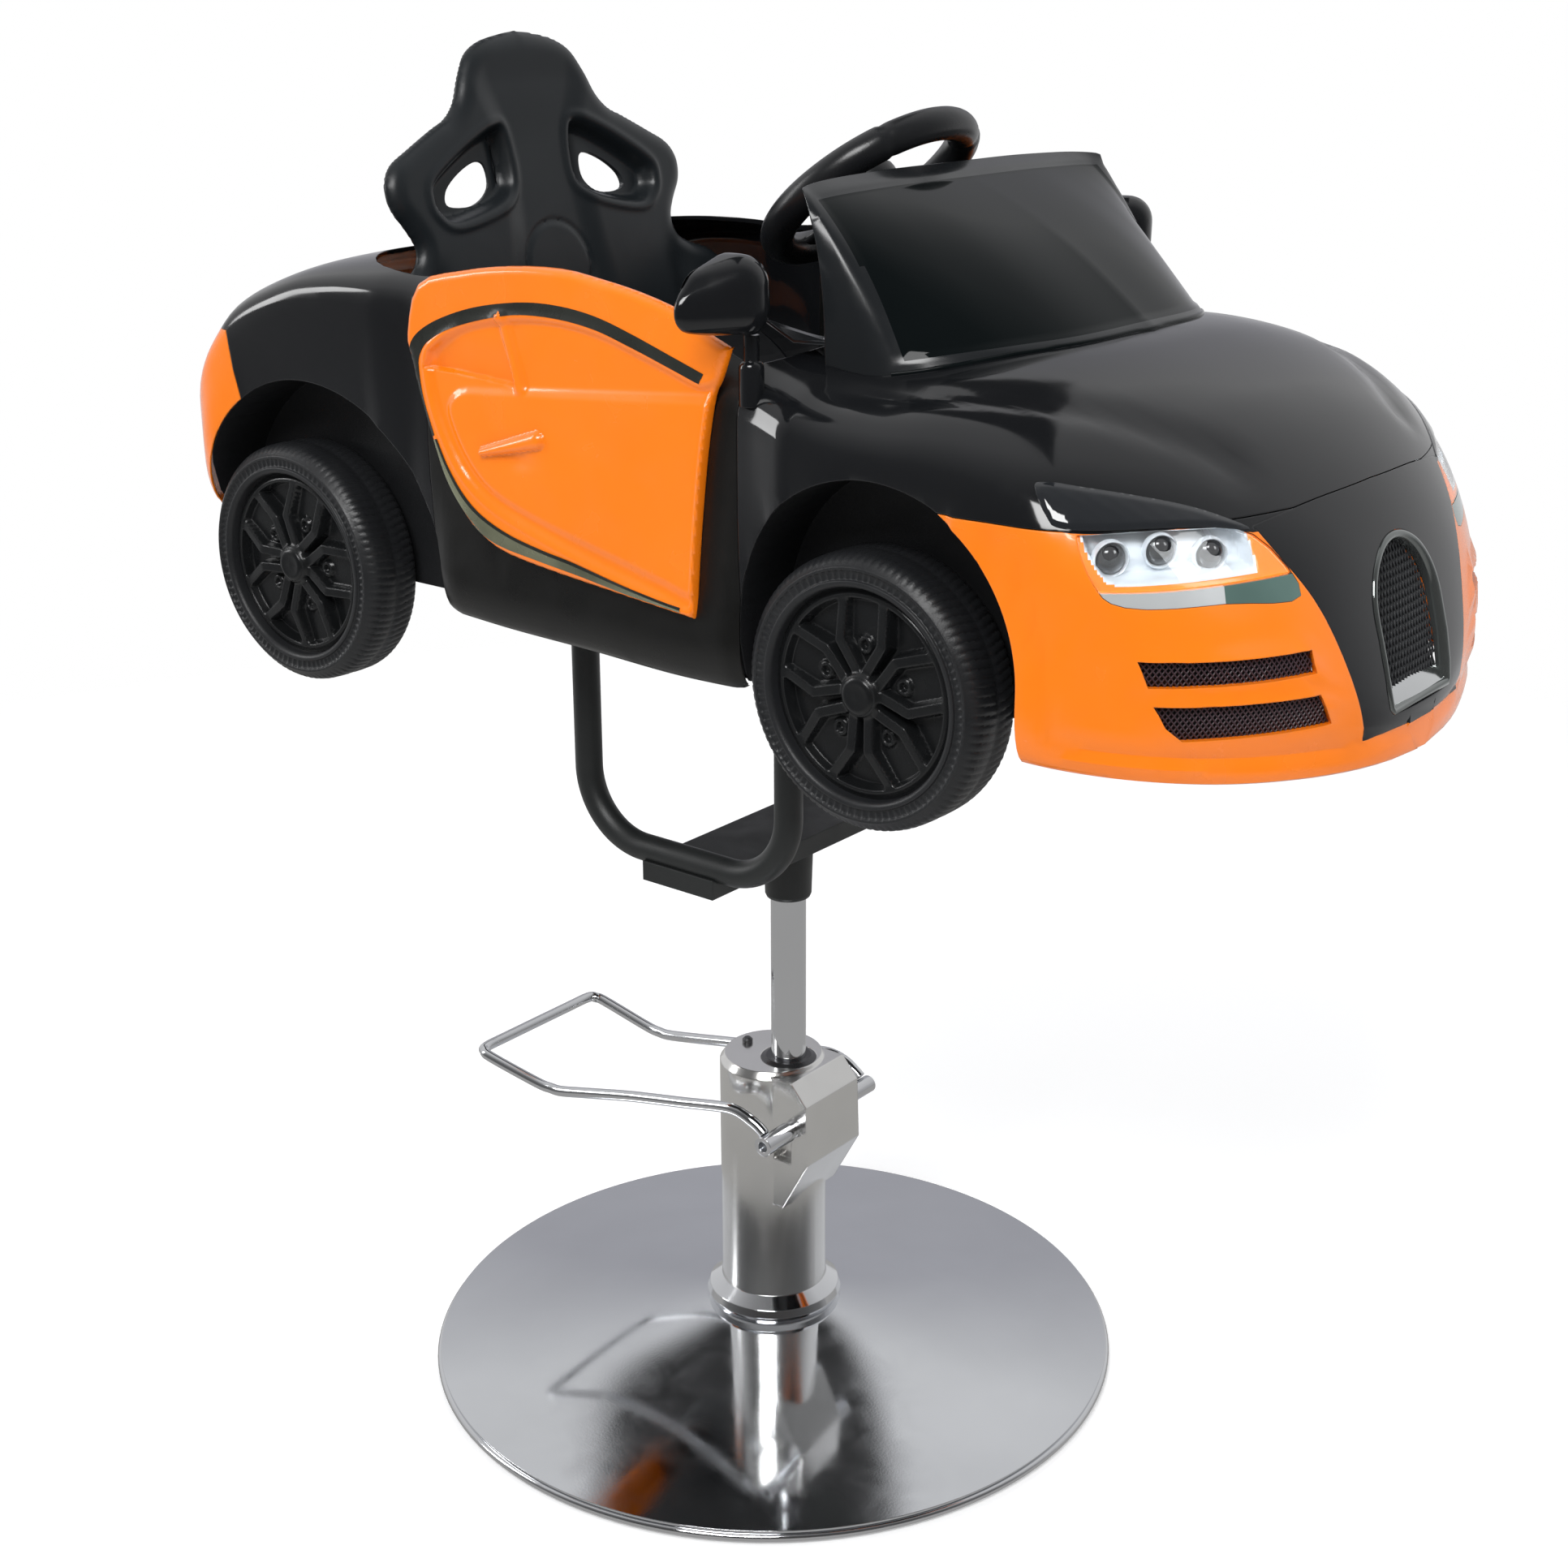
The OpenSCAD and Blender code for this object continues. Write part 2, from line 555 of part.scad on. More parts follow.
pan_rear = arch_rear[0] + arch_rear[2] + 2 * well_t;
pan_front = arch_front[0] - arch_front[2] - 2 * well_t;
// Floor of the car, wide between the wheels, with a beam for each axle
module floor_pan() color("black") difference() {
    union() {
        translate([pan_rear, -pan_half, pan_z]) cube([pan_front - pan_rear, 2 * pan_half, pan_t]);
        translate([axle_rear_x - beam_w, -pan_narrow, pan_z])
            cube([axle_front_x - axle_rear_x + 2 * beam_w, 2 * pan_narrow, pan_t]);
        for (x = [axle_front_x, axle_rear_x]) translate([x - beam_w / 2, -pan_narrow, pan_z])
            cube([beam_w, 2 * pan_narrow, beam_h]);
        for (y = [-1, 1]) translate([axle_rear_x, y * pan_narrow / 2 - rib_t / 2, pan_z])
            cube([dash_x - seat_gap - axle_rear_x, rib_t, rib_h]);
    }
    for (x = [axle_front_x, axle_rear_x]) translate([x, pan_half, axle_z]) rotate([90, 0, 0])
        cylinder(r = axle_r + fit, h = 2 * pan_half);
}

module axle(x) translate([x, track_half - seat_gap * 4, axle_z]) rotate([90, 0, 0])
    cylinder(r = axle_r, h = 2 * track_half - seat_gap * 8);
module front_axle() color("silver") axle(axle_front_x);
module rear_axle() color("silver") axle(axle_rear_x);

module hub_nuts() color("silver") for (x = [axle_front_x, axle_rear_x]) for (y = [-1, 1])
    translate([x, y * (track_half - hub_in + seat_gap), axle_z]) rotate([-90 * y, 0, 0]) difference() {
        union() {
            cylinder(r = nut_r * 1.25, h = nut_h / 4);
            translate([0, 0, nut_h / 4]) cylinder(r = nut_r, h = nut_h * 0.75, $fn = 6);
        }
        translate([0, 0, -eps]) cylinder(r = axle_r + fit, h = nut_h + 2 * eps);
    }

// Moulded tub round one wheel, cut to lie just inside the body
module wheel_well(a, s) color("dimgray") resize([0, 0, 0]) intersection() {
    body_solid(wall_t + seat_gap);
    difference() {
        translate([a[0], s > 0 ? car_w : -well_in + well_t, a[1]]) rotate([90, 0, 0])
            linear_extrude(car_w - well_in + well_t) arch_shape(a, well_t);
        translate([a[0], s > 0 ? car_w + eps : -well_in, a[1]]) rotate([90, 0, 0])
            linear_extrude(car_w - well_in + eps) arch_shape(a, 0);
        translate([-car_l, -car_w, pan_z - body_h]) cube([2 * car_l, 2 * car_w, body_h]);
        translate([a[0] > 0 ? axle_front_x : axle_rear_x, car_w, axle_z]) rotate([90, 0, 0])
            cylinder(r = hub_r, h = 2 * car_w);
    }
}
module well_front_right() wheel_well(arch_front, -1);
module well_front_left() wheel_well(arch_front, 1);
module well_rear_right() wheel_well(arch_rear, -1);
module well_rear_left() wheel_well(arch_rear, 1);

// Space below the seam line that the front bumper takes
module bumper_space(grow) {
    difference() {
        translate([arch_front[0] + arch_front[2] * 0.3, -car_w, 0])
            cube([car_l, 2 * car_w, sill_h + seam_share * body_h + grow]);
        nose_prism(-grow, car_l * 0.3);
    }
}
module mirrored(s) mirror([0, s > 0 ? 1 : 0, 0]) children();

module front_body() color("black") resize([0, 0, 0]) difference() {
    intersection() {
        body_shell();
        span(split_front_share, 1);
    }
    bumper_space(panel_gap);
    nose_prism(panel_gap, car_l * 0.3);
    arches();
    cockpit_cut();
}

module side(s) resize([0, 0, 0]) difference() {
    intersection() {
        body_shell();
        span(split_rear_share + panel_gap / car_l, split_front_share - panel_gap / car_l);
        translate([-car_l, s > 0 ? 0 : -car_w, 0]) cube([2 * car_l, car_w, sill_h + 2 * body_h]);
    }
    arches();
    cockpit_cut();
}
module side_right() color("black") side(-1);
module side_left() color("black") side(1);

// Place where the rear bumper begins, slanted like the fender edge
tail_cut_shares = [[-0.374, 1.2], [-0.370, 0.80], [-0.360, 0.56], [-0.300, 0], [-0.300, -0.4],
    [-0.7, -0.4], [-0.7, 1.2]];
tail_low_share = 0.79;
module tail_space(grow) intersection() {
    translate([grow, 0, 0]) side_prism(tail_cut_shares, -car_w, car_w);
    cube([2 * car_l, 2 * car_w, 2 * (sill_h + tail_low_share * body_h + grow)], center = true);
}

module rear_body() color("black") resize([0, 0, 0]) difference() {
    intersection() {
        body_shell();
        span(-1, split_rear_share);
    }
    tail_space(panel_gap);
    arches();
    cockpit_cut();
}

module rear_bumper() color("darkorange") resize([0, 0, 0]) difference() {
    intersection() {
        body_shell();
        tail_space(0);
    }
    arches();
}

module front_bumper() color("darkorange") resize([0, 0, 0]) difference() {
    intersection() {
        body_shell();
        bumper_space(0);
    }
    arches();
    for (s = [-1, 1]) mirrored(s) {
        corner_prism(lamp_shares, corner_near, corner_far, 0);
        corner_prism(vent_a_shares, corner_near, corner_far, 0);
        corner_prism(vent_b_shares, corner_near, corner_far, 0);
    }
}

module grille_hole(grow) translate([car_l * 0.3, 0, sill_h]) rotate([90, 0, 90]) linear_extrude(car_l)
    offset(delta = grow) union() {
        translate([0, grille_top - grille_half]) circle(r = grille_half, $fn = 40);
        polygon([[-grille_half, grille_top - grille_half], [-grille_half * 0.88, grille_low],
            [grille_half * 0.88, grille_low], [grille_half, grille_top - grille_half]]);
    }

module nose_panel() color("black") resize([0, 0, 0]) difference() {
    intersection() {
        body_shell();
        nose_prism(0, car_l * 0.3);
    }
    grille_hole(0);
}

// Ring that stands round the radiator opening and follows the nose
module grille_ring() color("silver") resize([0, 0, 0]) intersection() {
    difference() {
        translate([grille_bar / 4, 0, 0]) body_solid(0);
        translate([-grille_depth, 0, 0]) body_solid(0);
    }
    difference() {
        grille_hole(-seat_gap);
        grille_hole(-grille_bar);
    }
}

module grille_mesh() color("dimgray") resize([0, 0, 0]) intersection() {
    difference() {
        translate([-grille_depth / 2, 0, 0]) body_solid(0);
        translate([-grille_depth / 2 - mesh_t, 0, 0]) body_solid(0);
    }
    difference() {
        grille_hole(-grille_bar - seat_gap);
        for (i = [-2:2]) for (j = [0:5]) translate([car_l * 0.4, i * mesh_pitch,
            sill_h + grille_low + j * mesh_pitch]) rotate([45, 0, 0])
            translate([0, -mesh_pitch * 0.31, -mesh_pitch * 0.31])
            cube([car_l, mesh_pitch * 0.62, mesh_pitch * 0.62]);
    }
}

// Clear headlamp cover, flush in the bumper
module lens(s) mirrored(s) resize([0, 0, 0]) intersection() {
    difference() {
        body_solid(0);
        body_solid(lens_t);
        nose_prism(panel_gap, car_l * 0.3);
    }
    corner_prism(lamp_shares, corner_near, corner_far, -seat_gap);
}
module lenses() color("white") for (s = [-1, 1]) lens(s);

// Lamp body behind the cover, with three round reflectors sunk in it
module lamp(s) mirrored(s) resize([0, 0, 0]) difference() {
    intersection() {
        body_solid(lens_t + seat_gap);
        corner_prism(lamp_shares, corner_near, corner_far, -seat_gap);
    }
    translate([-lamp_depth, lamp_depth, 0]) body_solid(lens_t);
    nose_prism(panel_gap, car_l * 0.3);
    for (p = bulb_shares) translate([0, 0, sill_h]) rotate([0, 0, 90 - lamp_turn]) rotate([90, 0, 0])
        translate([p[0] * car_l, p[1] * body_h, lamp_face]) cylinder(r = bulb_r, h = car_l, $fn = 24);
}
module lamp_right() color("gray") lamp(-1);
module lamp_left() color("gray") lamp(1);

module vent_mesh_side(s) mirrored(s) resize([0, 0, 0]) intersection() {
    difference() {
        body_solid(wall_t + seat_gap);
        body_solid(wall_t + seat_gap + mesh_t);
    }
    union() {
        corner_prism(vent_a_shares, corner_near, corner_far, wall_t);
        corner_prism(vent_b_shares, corner_near, corner_far, wall_t);
    }
}
module vent_mesh() color("dimgray") for (s = [-1, 1]) vent_mesh_side(s);

// Outline drawn in by d along its corner normals
function inset(pts, d) = let (n = len(pts)) [for (i = [0:n - 1]) let (
    t = unit(pts[(i + 1) % n] - pts[(i + n - 1) % n])) pts[i] + d * [t[1], -t[0]]];
// Plate with rounded edges: outline, thickness and edge radius
module rounded_plate(pts, t, r, n = 3) {
    rings = concat([for (i = [0:n]) let (a = 90 * i / n) [r * (1 - sin(a)), r * (1 - cos(a))]],
        [for (i = [n:-1:0]) let (a = 90 * i / n) [r * (1 - sin(a)), t - r * (1 - cos(a))]]);
    loft([for (q = rings) [for (p = inset(pts, q[0])) [p[0], p[1], q[1]]]]);
}

door_y = half_w(0) + seat_gap;
module door(s) mirrored(s) resize([0, 0, 0]) union() {
    difference() {
        translate([0, -door_y, sill_h]) rotate([90, 0, 0])
            rounded_plate([for (p = door_shares) [p[0] * car_l, p[1] * body_h]], door_t, door_round);
        side_prism(panel_shares, -door_y - door_t - eps, -door_y - door_t + panel_d);
    }
    translate([handle_at_shares[0] * car_l, -door_y - door_t + panel_d + eps,
        sill_h + handle_at_shares[1] * body_h]) rotate([90, 0, 0]) rounded_plate(
        [for (i = [0:11]) let (a = -360 * (i + 0.5) / 12)
            [cos(a) * handle_h / 2 + sign(cos(a)) * (handle_l - handle_h) / 2,
            sin(a) * handle_h / 2 + cos(a) * handle_h / 5]], handle_out + eps, handle_h / 4, 2);
}
module door_right() color("darkorange") door(-1);
module door_left() color("darkorange") door(1);

// Raked screen that wraps round to the sides, one sheet between two curved skins
function glass_point(k, v, d) = let (a = abs(k) * -1, b = car_w / 2 * k,
    x0 = curve(a, glass_shares, 1) * car_l, x1 = curve(a, glass_shares, 2) * car_l,
    z0 = sill_h + curve(a, glass_shares, 3) * body_h, z1 = sill_h + curve(a, glass_shares, 4) * body_h,
    bulge = glass_bulge * sin(180 * v)) [x0 + (x1 - x0) * v + bulge * 0.5 - d * 0.55,
    b * (glass_base_share + (glass_top_share - glass_base_share) * v) - sign(k) * d * 0.6 * pow(abs(k), 3),
    z0 + (z1 - z0) * v + bulge - d * 0.8 * (1 - pow(abs(k), 4))];
glass_k_shares = [-1, -0.985, -0.95, -0.88, -0.75, -0.6, -0.4, -0.2, 0, 0.2, 0.4, 0.6, 0.75, 0.88, 0.95,
    0.985, 1];
function glass_v(i) = (1 + glass_sink) * i / glass_rows - glass_sink;
module windshield() color("black") resize([0, 0, 0]) difference() {
    loft([for (k = glass_k_shares) concat(
        [for (i = [0:glass_rows]) glass_point(k, glass_v(i), 0)],
        [for (i = [glass_rows:-1:0]) glass_point(k, glass_v(i), glass_t)])]);
    body_solid(-seat_gap);
}

// Bulkhead under the hood, cut to fit the body and the wheel tubs
module dashboard() color("black") resize([0, 0, 0]) difference() {
    intersection() {
        body_solid(wall_t + seat_gap);
        translate([dash_x, -car_w, pan_z + pan_t]) cube([dash_t, 2 * car_w, body_h]);
    }
    for (s = [-1, 1]) translate([arch_front[0], s > 0 ? car_w : -well_in + well_t + seat_gap,
        arch_front[1]]) rotate([90, 0, 0]) linear_extrude(car_w - well_in + well_t + seat_gap)
        arch_shape(arch_front, well_t + seat_gap);
}

module steer_frame() translate([steer_x, 0, steer_z]) rotate([0, steer_tilt - 90, 0]) children();

module steering_wheel() color("black") steer_frame() difference() {
    union() {
        rotate_extrude() translate([(steer_d - rim_d) / 2, 0]) circle(d = rim_d, $fn = 32);
        translate([0, 0, -hub_h / 2]) cylinder(d = hub_d, h = hub_h);
        translate([0, 0, -hub_h / 2 - shaft_l]) cylinder(r = shaft_r, h = shaft_l + eps);
        for (a = [90:90:270]) rotate(a) translate([0, -spoke_w / 2, -spoke_t / 2])
            cube([(steer_d - rim_d) / 2, spoke_w, spoke_t]);
    }
    translate([0, 0, hub_h / 2 - horn_h + horn_in]) cylinder(d = horn_d + 4 * seat_gap, h = hub_h);
}

module horn_button() color("dimgray") steer_frame()
    translate([0, 0, hub_h / 2 - horn_h + 2 * horn_in]) union() {
        cylinder(d = horn_d, h = horn_h - horn_in * 0.6);
        translate([0, 0, horn_h - horn_in * 0.6])
            cylinder(d1 = horn_d, d2 = horn_d * 0.8, h = horn_in * 0.6);
    }

module steering_column() color("black") intersection() {
    steer_frame() translate([0, 0, -hub_h / 2 - shroud_off - shroud_l]) difference() {
        cylinder(r1 = shroud_r * 1.3, r2 = shroud_r, h = shroud_l);
        translate([0, 0, -eps]) cylinder(r = shaft_r + fit, h = shroud_l + 2 * eps);
    }
    translate([0, -car_w, sill_h]) cube([dash_x, 2 * car_w, 2 * body_h]);
}

// Moulded bucket back with two see-through openings and a plain round disc
seat_outline = concat([for (p = seat_shares) [p[0] * seat_w / 2, p[1] * seat_h]],
    [for (i = [len(seat_shares) - 1:-1:1]) [-seat_shares[i][0] * seat_w / 2, seat_shares[i][1] * seat_h]]);
module seat_back() color("black") translate([seat_x, 0, seat_low]) rotate([0, -seat_lean, 0])
    rotate([90, 0, 90]) resize([0, 0, 0]) difference() {
        translate([0, 0, -seat_t]) rounded_plate(seat_outline, seat_t, seat_round, 3);
        for (s = [-1, 1]) for (g = [0, 1]) let (c = [0.47, 0.665]) translate([s * c[0] * seat_w / 2,
            c[1] * seat_h, g > 0 ? -seat_t * 0.45 : -seat_t - eps])
            linear_extrude(g > 0 ? seat_t : 2 * seat_t)
            polygon([for (p = seat_hole_shares) [s * (p[0] - c[0]) * seat_w / 2,
                (p[1] - c[1]) * seat_h] * (g > 0 ? 1 : seat_hole_small)]);
        translate([0, disc_at * seat_h, -disc_d]) difference() {
            cylinder(r = disc_r, h = seat_t, $fn = 48);
            translate([0, 0, -eps]) cylinder(r = disc_r - disc_d, h = 2 * seat_t, $fn = 48);
        }
    }

// Height of the ledge that the seat back stands on, above the underside of the seat base
ledge_z = seat_low - pan_z - rib_h - 2 * seat_gap;
module seat_base() color("black") translate([seat_x + seat_gap, cushion_w / 2, pan_z + rib_h + seat_gap])
    rotate([90, 0, 0]) linear_extrude(cushion_w) polygon(concat(
        [[-seat_t * cos(seat_lean), 0], [-seat_t * cos(seat_lean), ledge_z - seat_t * sin(seat_lean)],
            [0, ledge_z]], [for (p = pan_shares) [p[0] * cushion_l, p[1] * (cushion_h - rib_h)]]));

module mirror_stalk(s) resize([0, 0, 0]) difference() {
    translate([mirror_x, s * mirror_y, stalk_low]) {
        cylinder(r = stalk_ring, h = stalk_top - stalk_low - stalk_neck, $fn = 28);
        translate([0, 0, stalk_top - stalk_low - stalk_neck])
            cylinder(r1 = stalk_ring, r2 = stalk_r, h = stalk_ring - stalk_r, $fn = 28);
        cylinder(r = stalk_r, h = stalk_top - stalk_low, $fn = 28);
        cylinder(r = mirror_pin_r, h = stalk_top - stalk_low + mirror_pin_h);
    }
    body_solid(-seat_gap);
}
module mirror_stalk_right() color("black") mirror_stalk(-1);
module mirror_stalk_left() color("black") mirror_stalk(1);

// Outline of the mirror frame seen from behind, as circles of place outwards, height and radius
rim_shares = [[0.56, 0.34, 0.26], [0.38, 0.43, 0.40], [0.12, 0.58, 0.37], [0.02, 0.32, 0.30]];
// Mirror head that turns on the pin of its stalk: a frame blown out forwards into a round wedge
module mirror_head(s) translate([mirror_x, s * mirror_y, stalk_top + seat_gap]) difference() {
    mirrored(s) hull() {
        for (c = rim_shares) translate([-mirror_back, -c[0] * mirror_w, c[1] * mirror_h])
            rotate([0, 90, 0]) cylinder(r = c[2] * mirror_h, h = mirror_frame, $fn = 28);
        cylinder(r = stalk_r, h = mirror_pin_h);
        translate([0, -mirror_w * 0.14, mirror_h * 0.60]) sphere(r = mirror_h * 0.36, $fn = 24);
        translate([mirror_front, -mirror_w * 0.13, mirror_h * 0.32]) sphere(r = mirror_h * 0.30, $fn = 24);
    }
    translate([0, 0, -eps]) cylinder(r = mirror_pin_r + fit, h = mirror_pin_h + eps);
}
module mirror_right() color("black") mirror_head(-1);
module mirror_left() color("black") mirror_head(1);

// Hollow moulded wheel: side walls, hub tube, web and a ribbed tread
module tyre(x, s) translate([x, s * track_half, axle_z]) rotate([s > 0 ? 90 : -90, 0, 0]) union() {
    rotate_extrude($fn = 96) polygon([[axle_r + fit, hub_in], [hub_r, hub_in], [hub_r, tyre_w * 0.38],
        [rim_r, tyre_w * 0.30], [rim_r, rim_deep], [rim_r + rim_lip, 0], [wheel_r - shoulder, 0],
        [wheel_r - tread_h * 1.5, shoulder * 0.4], [wheel_r - tread_h, shoulder],
        [wheel_r - tread_h, tyre_w - shoulder], [wheel_r - tread_h * 1.5, tyre_w - shoulder * 0.4],
        [wheel_r - shoulder, tyre_w], [rim_r, tyre_w], [rim_r, tyre_w * 0.38 + web_t],
        [hub_r, tyre_w * 0.38 + web_t], [hub_r, tyre_w], [axle_r + fit, tyre_w]]);
    translate([0, 0, shoulder]) linear_extrude(tyre_w - 2 * shoulder) difference() {
        polygon([for (i = [0:tread_n - 1]) for (q = [[-0.30, 0], [-0.22, 1], [0.22, 1], [0.30, 0]])
            let (a = 360 * (i + q[0]) / tread_n, r = wheel_r - tread_h * (q[1] > 0 ? 0 : 1.1))
            [r * cos(a), r * sin(a)]]);
        circle(r = wheel_r - tread_h * 2);
    }
}
module tyre_fr() color("dimgray") tyre(axle_front_x, -1);
module tyre_fl() color("dimgray") tyre(axle_front_x, 1);
module tyre_rr() color("dimgray") tyre(axle_rear_x, -1);
module tyre_rl() color("dimgray") tyre(axle_rear_x, 1);

// Wheel cover with paired spokes
module cover_shape() difference() {
    union() {
        difference() {
            circle(r = rim_r - seat_gap);
            circle(r = rim_r * 0.84);
        }
        circle(r = rim_r * 0.36);
        for (i = [0:spokes - 1]) for (b = [-1, 1]) rotate(360 * i / spokes + b * spoke_split)
            polygon([[0, -spoke_half], [rim_r * 0.87, b * spoke_skew - spoke_tip],
                [rim_r * 0.87, b * spoke_skew + spoke_tip], [0, spoke_half]]);
    }
    circle(r = hub_r + seat_gap);
    for (i = [0:spokes - 1]) rotate(360 * (i + 0.5) / spokes) translate([rim_r * 0.29, 0])
        circle(r = lug_r, $fn = 16);
}
module cover(x, s) translate([x, s * (track_half - tyre_w * 0.30 + seat_gap), axle_z])
    rotate([s > 0 ? -90 : 90, 0, 0]) linear_extrude(cover_t) cover_shape();
module cover_fr() color("black") cover(axle_front_x, -1);
module cover_fl() color("black") cover(axle_front_x, 1);
module cover_rr() color("black") cover(axle_rear_x, -1);
module cover_rl() color("black") cover(axle_rear_x, 1);

base_plate();
base_cover();
base_edge_ring();
base_collar();
pump_housing();
rod_bushing();
filler_screw();
base_bolts();
pedal_shaft();
pedal_loop();
piston_head();
piston_rod();
rod_socket();
cross_bar();
frame_tube_right();
frame_tube_left();
frame_straps();
frame_bolts();
floor_pan();
front_axle();
rear_axle();
hub_nuts();
well_front_right();
well_front_left();
well_rear_right();
well_rear_left();
front_body();
side_right();
side_left();
rear_body();
front_bumper();
rear_bumper();
nose_panel();
grille_mesh();
grille_ring();
lamp_right();
lamp_left();
lenses();
vent_mesh();
door_right();
door_left();
windshield();
dashboard();
steering_column();
steering_wheel();
horn_button();
seat_back();
seat_base();
mirror_stalk_right();
mirror_stalk_left();
mirror_right();
mirror_left();
tyre_fr();
tyre_fl();
tyre_rr();
tyre_rl();
cover_fr();
cover_fl();
cover_rr();
cover_rl();
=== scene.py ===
import bpy
from math import ceil, copysign, cos, exp, hypot, pi, radians, sin, sqrt
from mathutils import Matrix, Vector


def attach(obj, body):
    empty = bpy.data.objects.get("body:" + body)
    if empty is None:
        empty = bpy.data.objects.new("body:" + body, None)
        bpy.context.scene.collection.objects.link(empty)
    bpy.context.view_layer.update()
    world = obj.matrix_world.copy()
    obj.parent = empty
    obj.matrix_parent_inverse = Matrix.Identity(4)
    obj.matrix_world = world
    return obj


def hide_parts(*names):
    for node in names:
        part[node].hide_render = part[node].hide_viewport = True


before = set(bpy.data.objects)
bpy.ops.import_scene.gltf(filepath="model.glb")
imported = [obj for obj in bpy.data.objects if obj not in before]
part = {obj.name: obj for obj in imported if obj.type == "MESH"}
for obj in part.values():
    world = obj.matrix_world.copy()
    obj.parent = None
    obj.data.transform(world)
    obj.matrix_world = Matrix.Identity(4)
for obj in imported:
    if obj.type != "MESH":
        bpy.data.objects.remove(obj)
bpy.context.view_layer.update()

# Camera. It stands in front of the car's right corner at about eye height and looks down at
# the chair, as the photograph does; the frame is square and the lens is a short portrait one.
turn, dip, tilt = radians(37.36), radians(19.87), radians(0.26)
eye, focal_share, film = (1.13008, -1.4238, 1.17862), 2891.01 / 1932, 36
ahead = Vector((-sin(turn) * cos(dip), cos(turn) * cos(dip), -sin(dip)))
level = ahead.cross(Vector((0, 0, 1))).normalized()
rise = level.cross(ahead)
across = level * cos(tilt) + rise * sin(tilt)
upward = rise * cos(tilt) - level * sin(tilt)
camera = bpy.data.objects.new("camera", bpy.data.cameras.new("camera"))
bpy.context.scene.collection.objects.link(camera)
camera.matrix_world = Matrix.Translation(eye) @ Matrix((across, upward, -ahead)).transposed().to_4x4()
camera.data.sensor_width, camera.data.lens = film, focal_share * film
camera.data.shift_x, camera.data.shift_y = -0.02916, 0.00645
camera.data.clip_start, camera.data.clip_end = 0.05, 60
bpy.context.scene.camera = camera
bpy.context.scene.view_settings.view_transform = "Standard"

# Studio. A white room for the camera. Gloss and chrome see a room whose wall behind the chair is
# pale, with a dark beam overhead, and whose wall behind the camera is darker; soft lamps stand round.
def feed(tree, target, inputs):
    """Sets each input of a node to a value, or to the node or socket that feeds it."""
    for socket, value in inputs.items():
        if isinstance(value, bpy.types.Node):
            value = value.outputs[0]
        if isinstance(value, bpy.types.NodeSocket):
            tree.links.new(value, target.inputs[socket])
        else:
            target.inputs[socket].default_value = value


def node(tree, kind, inputs, **settings):
    """A new shader node with its settings and its inputs."""
    made = tree.nodes.new("ShaderNode" + kind)
    for key, value in settings.items():
        setattr(made, key, value)
    feed(tree, made, inputs)
    return made


room = bpy.data.worlds.new("room")
bpy.context.scene.world = room
room.use_nodes = True
wires = room.node_tree
wires.nodes.clear()
way = node(wires, "TexCoord", {}).outputs["Generated"]
forward = node(wires, "VectorMath", {0: way, 1: (-0.607, 0.795, 0.25)}, operation="DOT_PRODUCT")
half_up = node(wires, "Math", {0: forward.outputs["Value"], 1: 0.5, 2: 0.5}, operation="MULTIPLY_ADD")
walls = node(wires, "ValToRGB", {0: half_up})
stops = walls.color_ramp.elements
stops[0].color, stops[1].color = (0.055, 0.052, 0.05, 1), (0.42, 0.42, 0.45, 1)
for place, shade in ((0.22, 0.08), (0.42, 0.15), (0.55, 0.36), (0.68, 0.6), (0.95, 0.7)):
    stops.new(place).color = (shade, shade, shade * 1.01, 1)
height = node(wires, "SeparateXYZ", {0: way})
flat_way = node(wires, "CombineXYZ", {"X": height.outputs["X"], "Y": height.outputs["Y"]})
heading = node(wires, "VectorMath", {0: flat_way}, operation="NORMALIZE")
abeam = node(wires, "VectorMath", {0: heading, 1: (-0.656, 0.755, 0)}, operation="DOT_PRODUCT")
near_beam, at_beam = (node(wires, "MapRange", {"Value": source, "From Min": low, "From Max": high},
    interpolation_type="SMOOTHSTEP") for source, low, high in ((abeam.outputs["Value"], 0.97, 0.981),
    (height.outputs["Z"], 0.61, 0.69)))
beam = node(wires, "Math", {0: near_beam, 1: at_beam}, operation="MULTIPLY")
shaded = node(wires, "Math", {0: beam, 1: -0.95, 2: 1}, operation="MULTIPLY_ADD")
mirrored = node(wires, "Background", {0: walls, 1: shaded})
soft = node(wires, "Background", {0: (0.97, 0.985, 1, 1), 1: 0.52})
white = node(wires, "Background", {0: (1, 1, 1, 1)})
rays = node(wires, "LightPath", {}).outputs
lit = node(wires, "MixShader", {0: rays["Is Glossy Ray"], 1: soft, 2: mirrored})
straight = node(wires, "Math", {0: rays["Is Camera Ray"], 1: rays["Is Transmission Ray"]}, operation="MAXIMUM")
shown = node(wires, "MixShader", {0: straight, 1: lit, 2: white})
node(wires, "OutputWorld", {0: shown})


def placed(name, data):
    """A new object in the scene."""
    made = bpy.data.objects.new(name, data)
    bpy.context.scene.collection.objects.link(made)
    return made


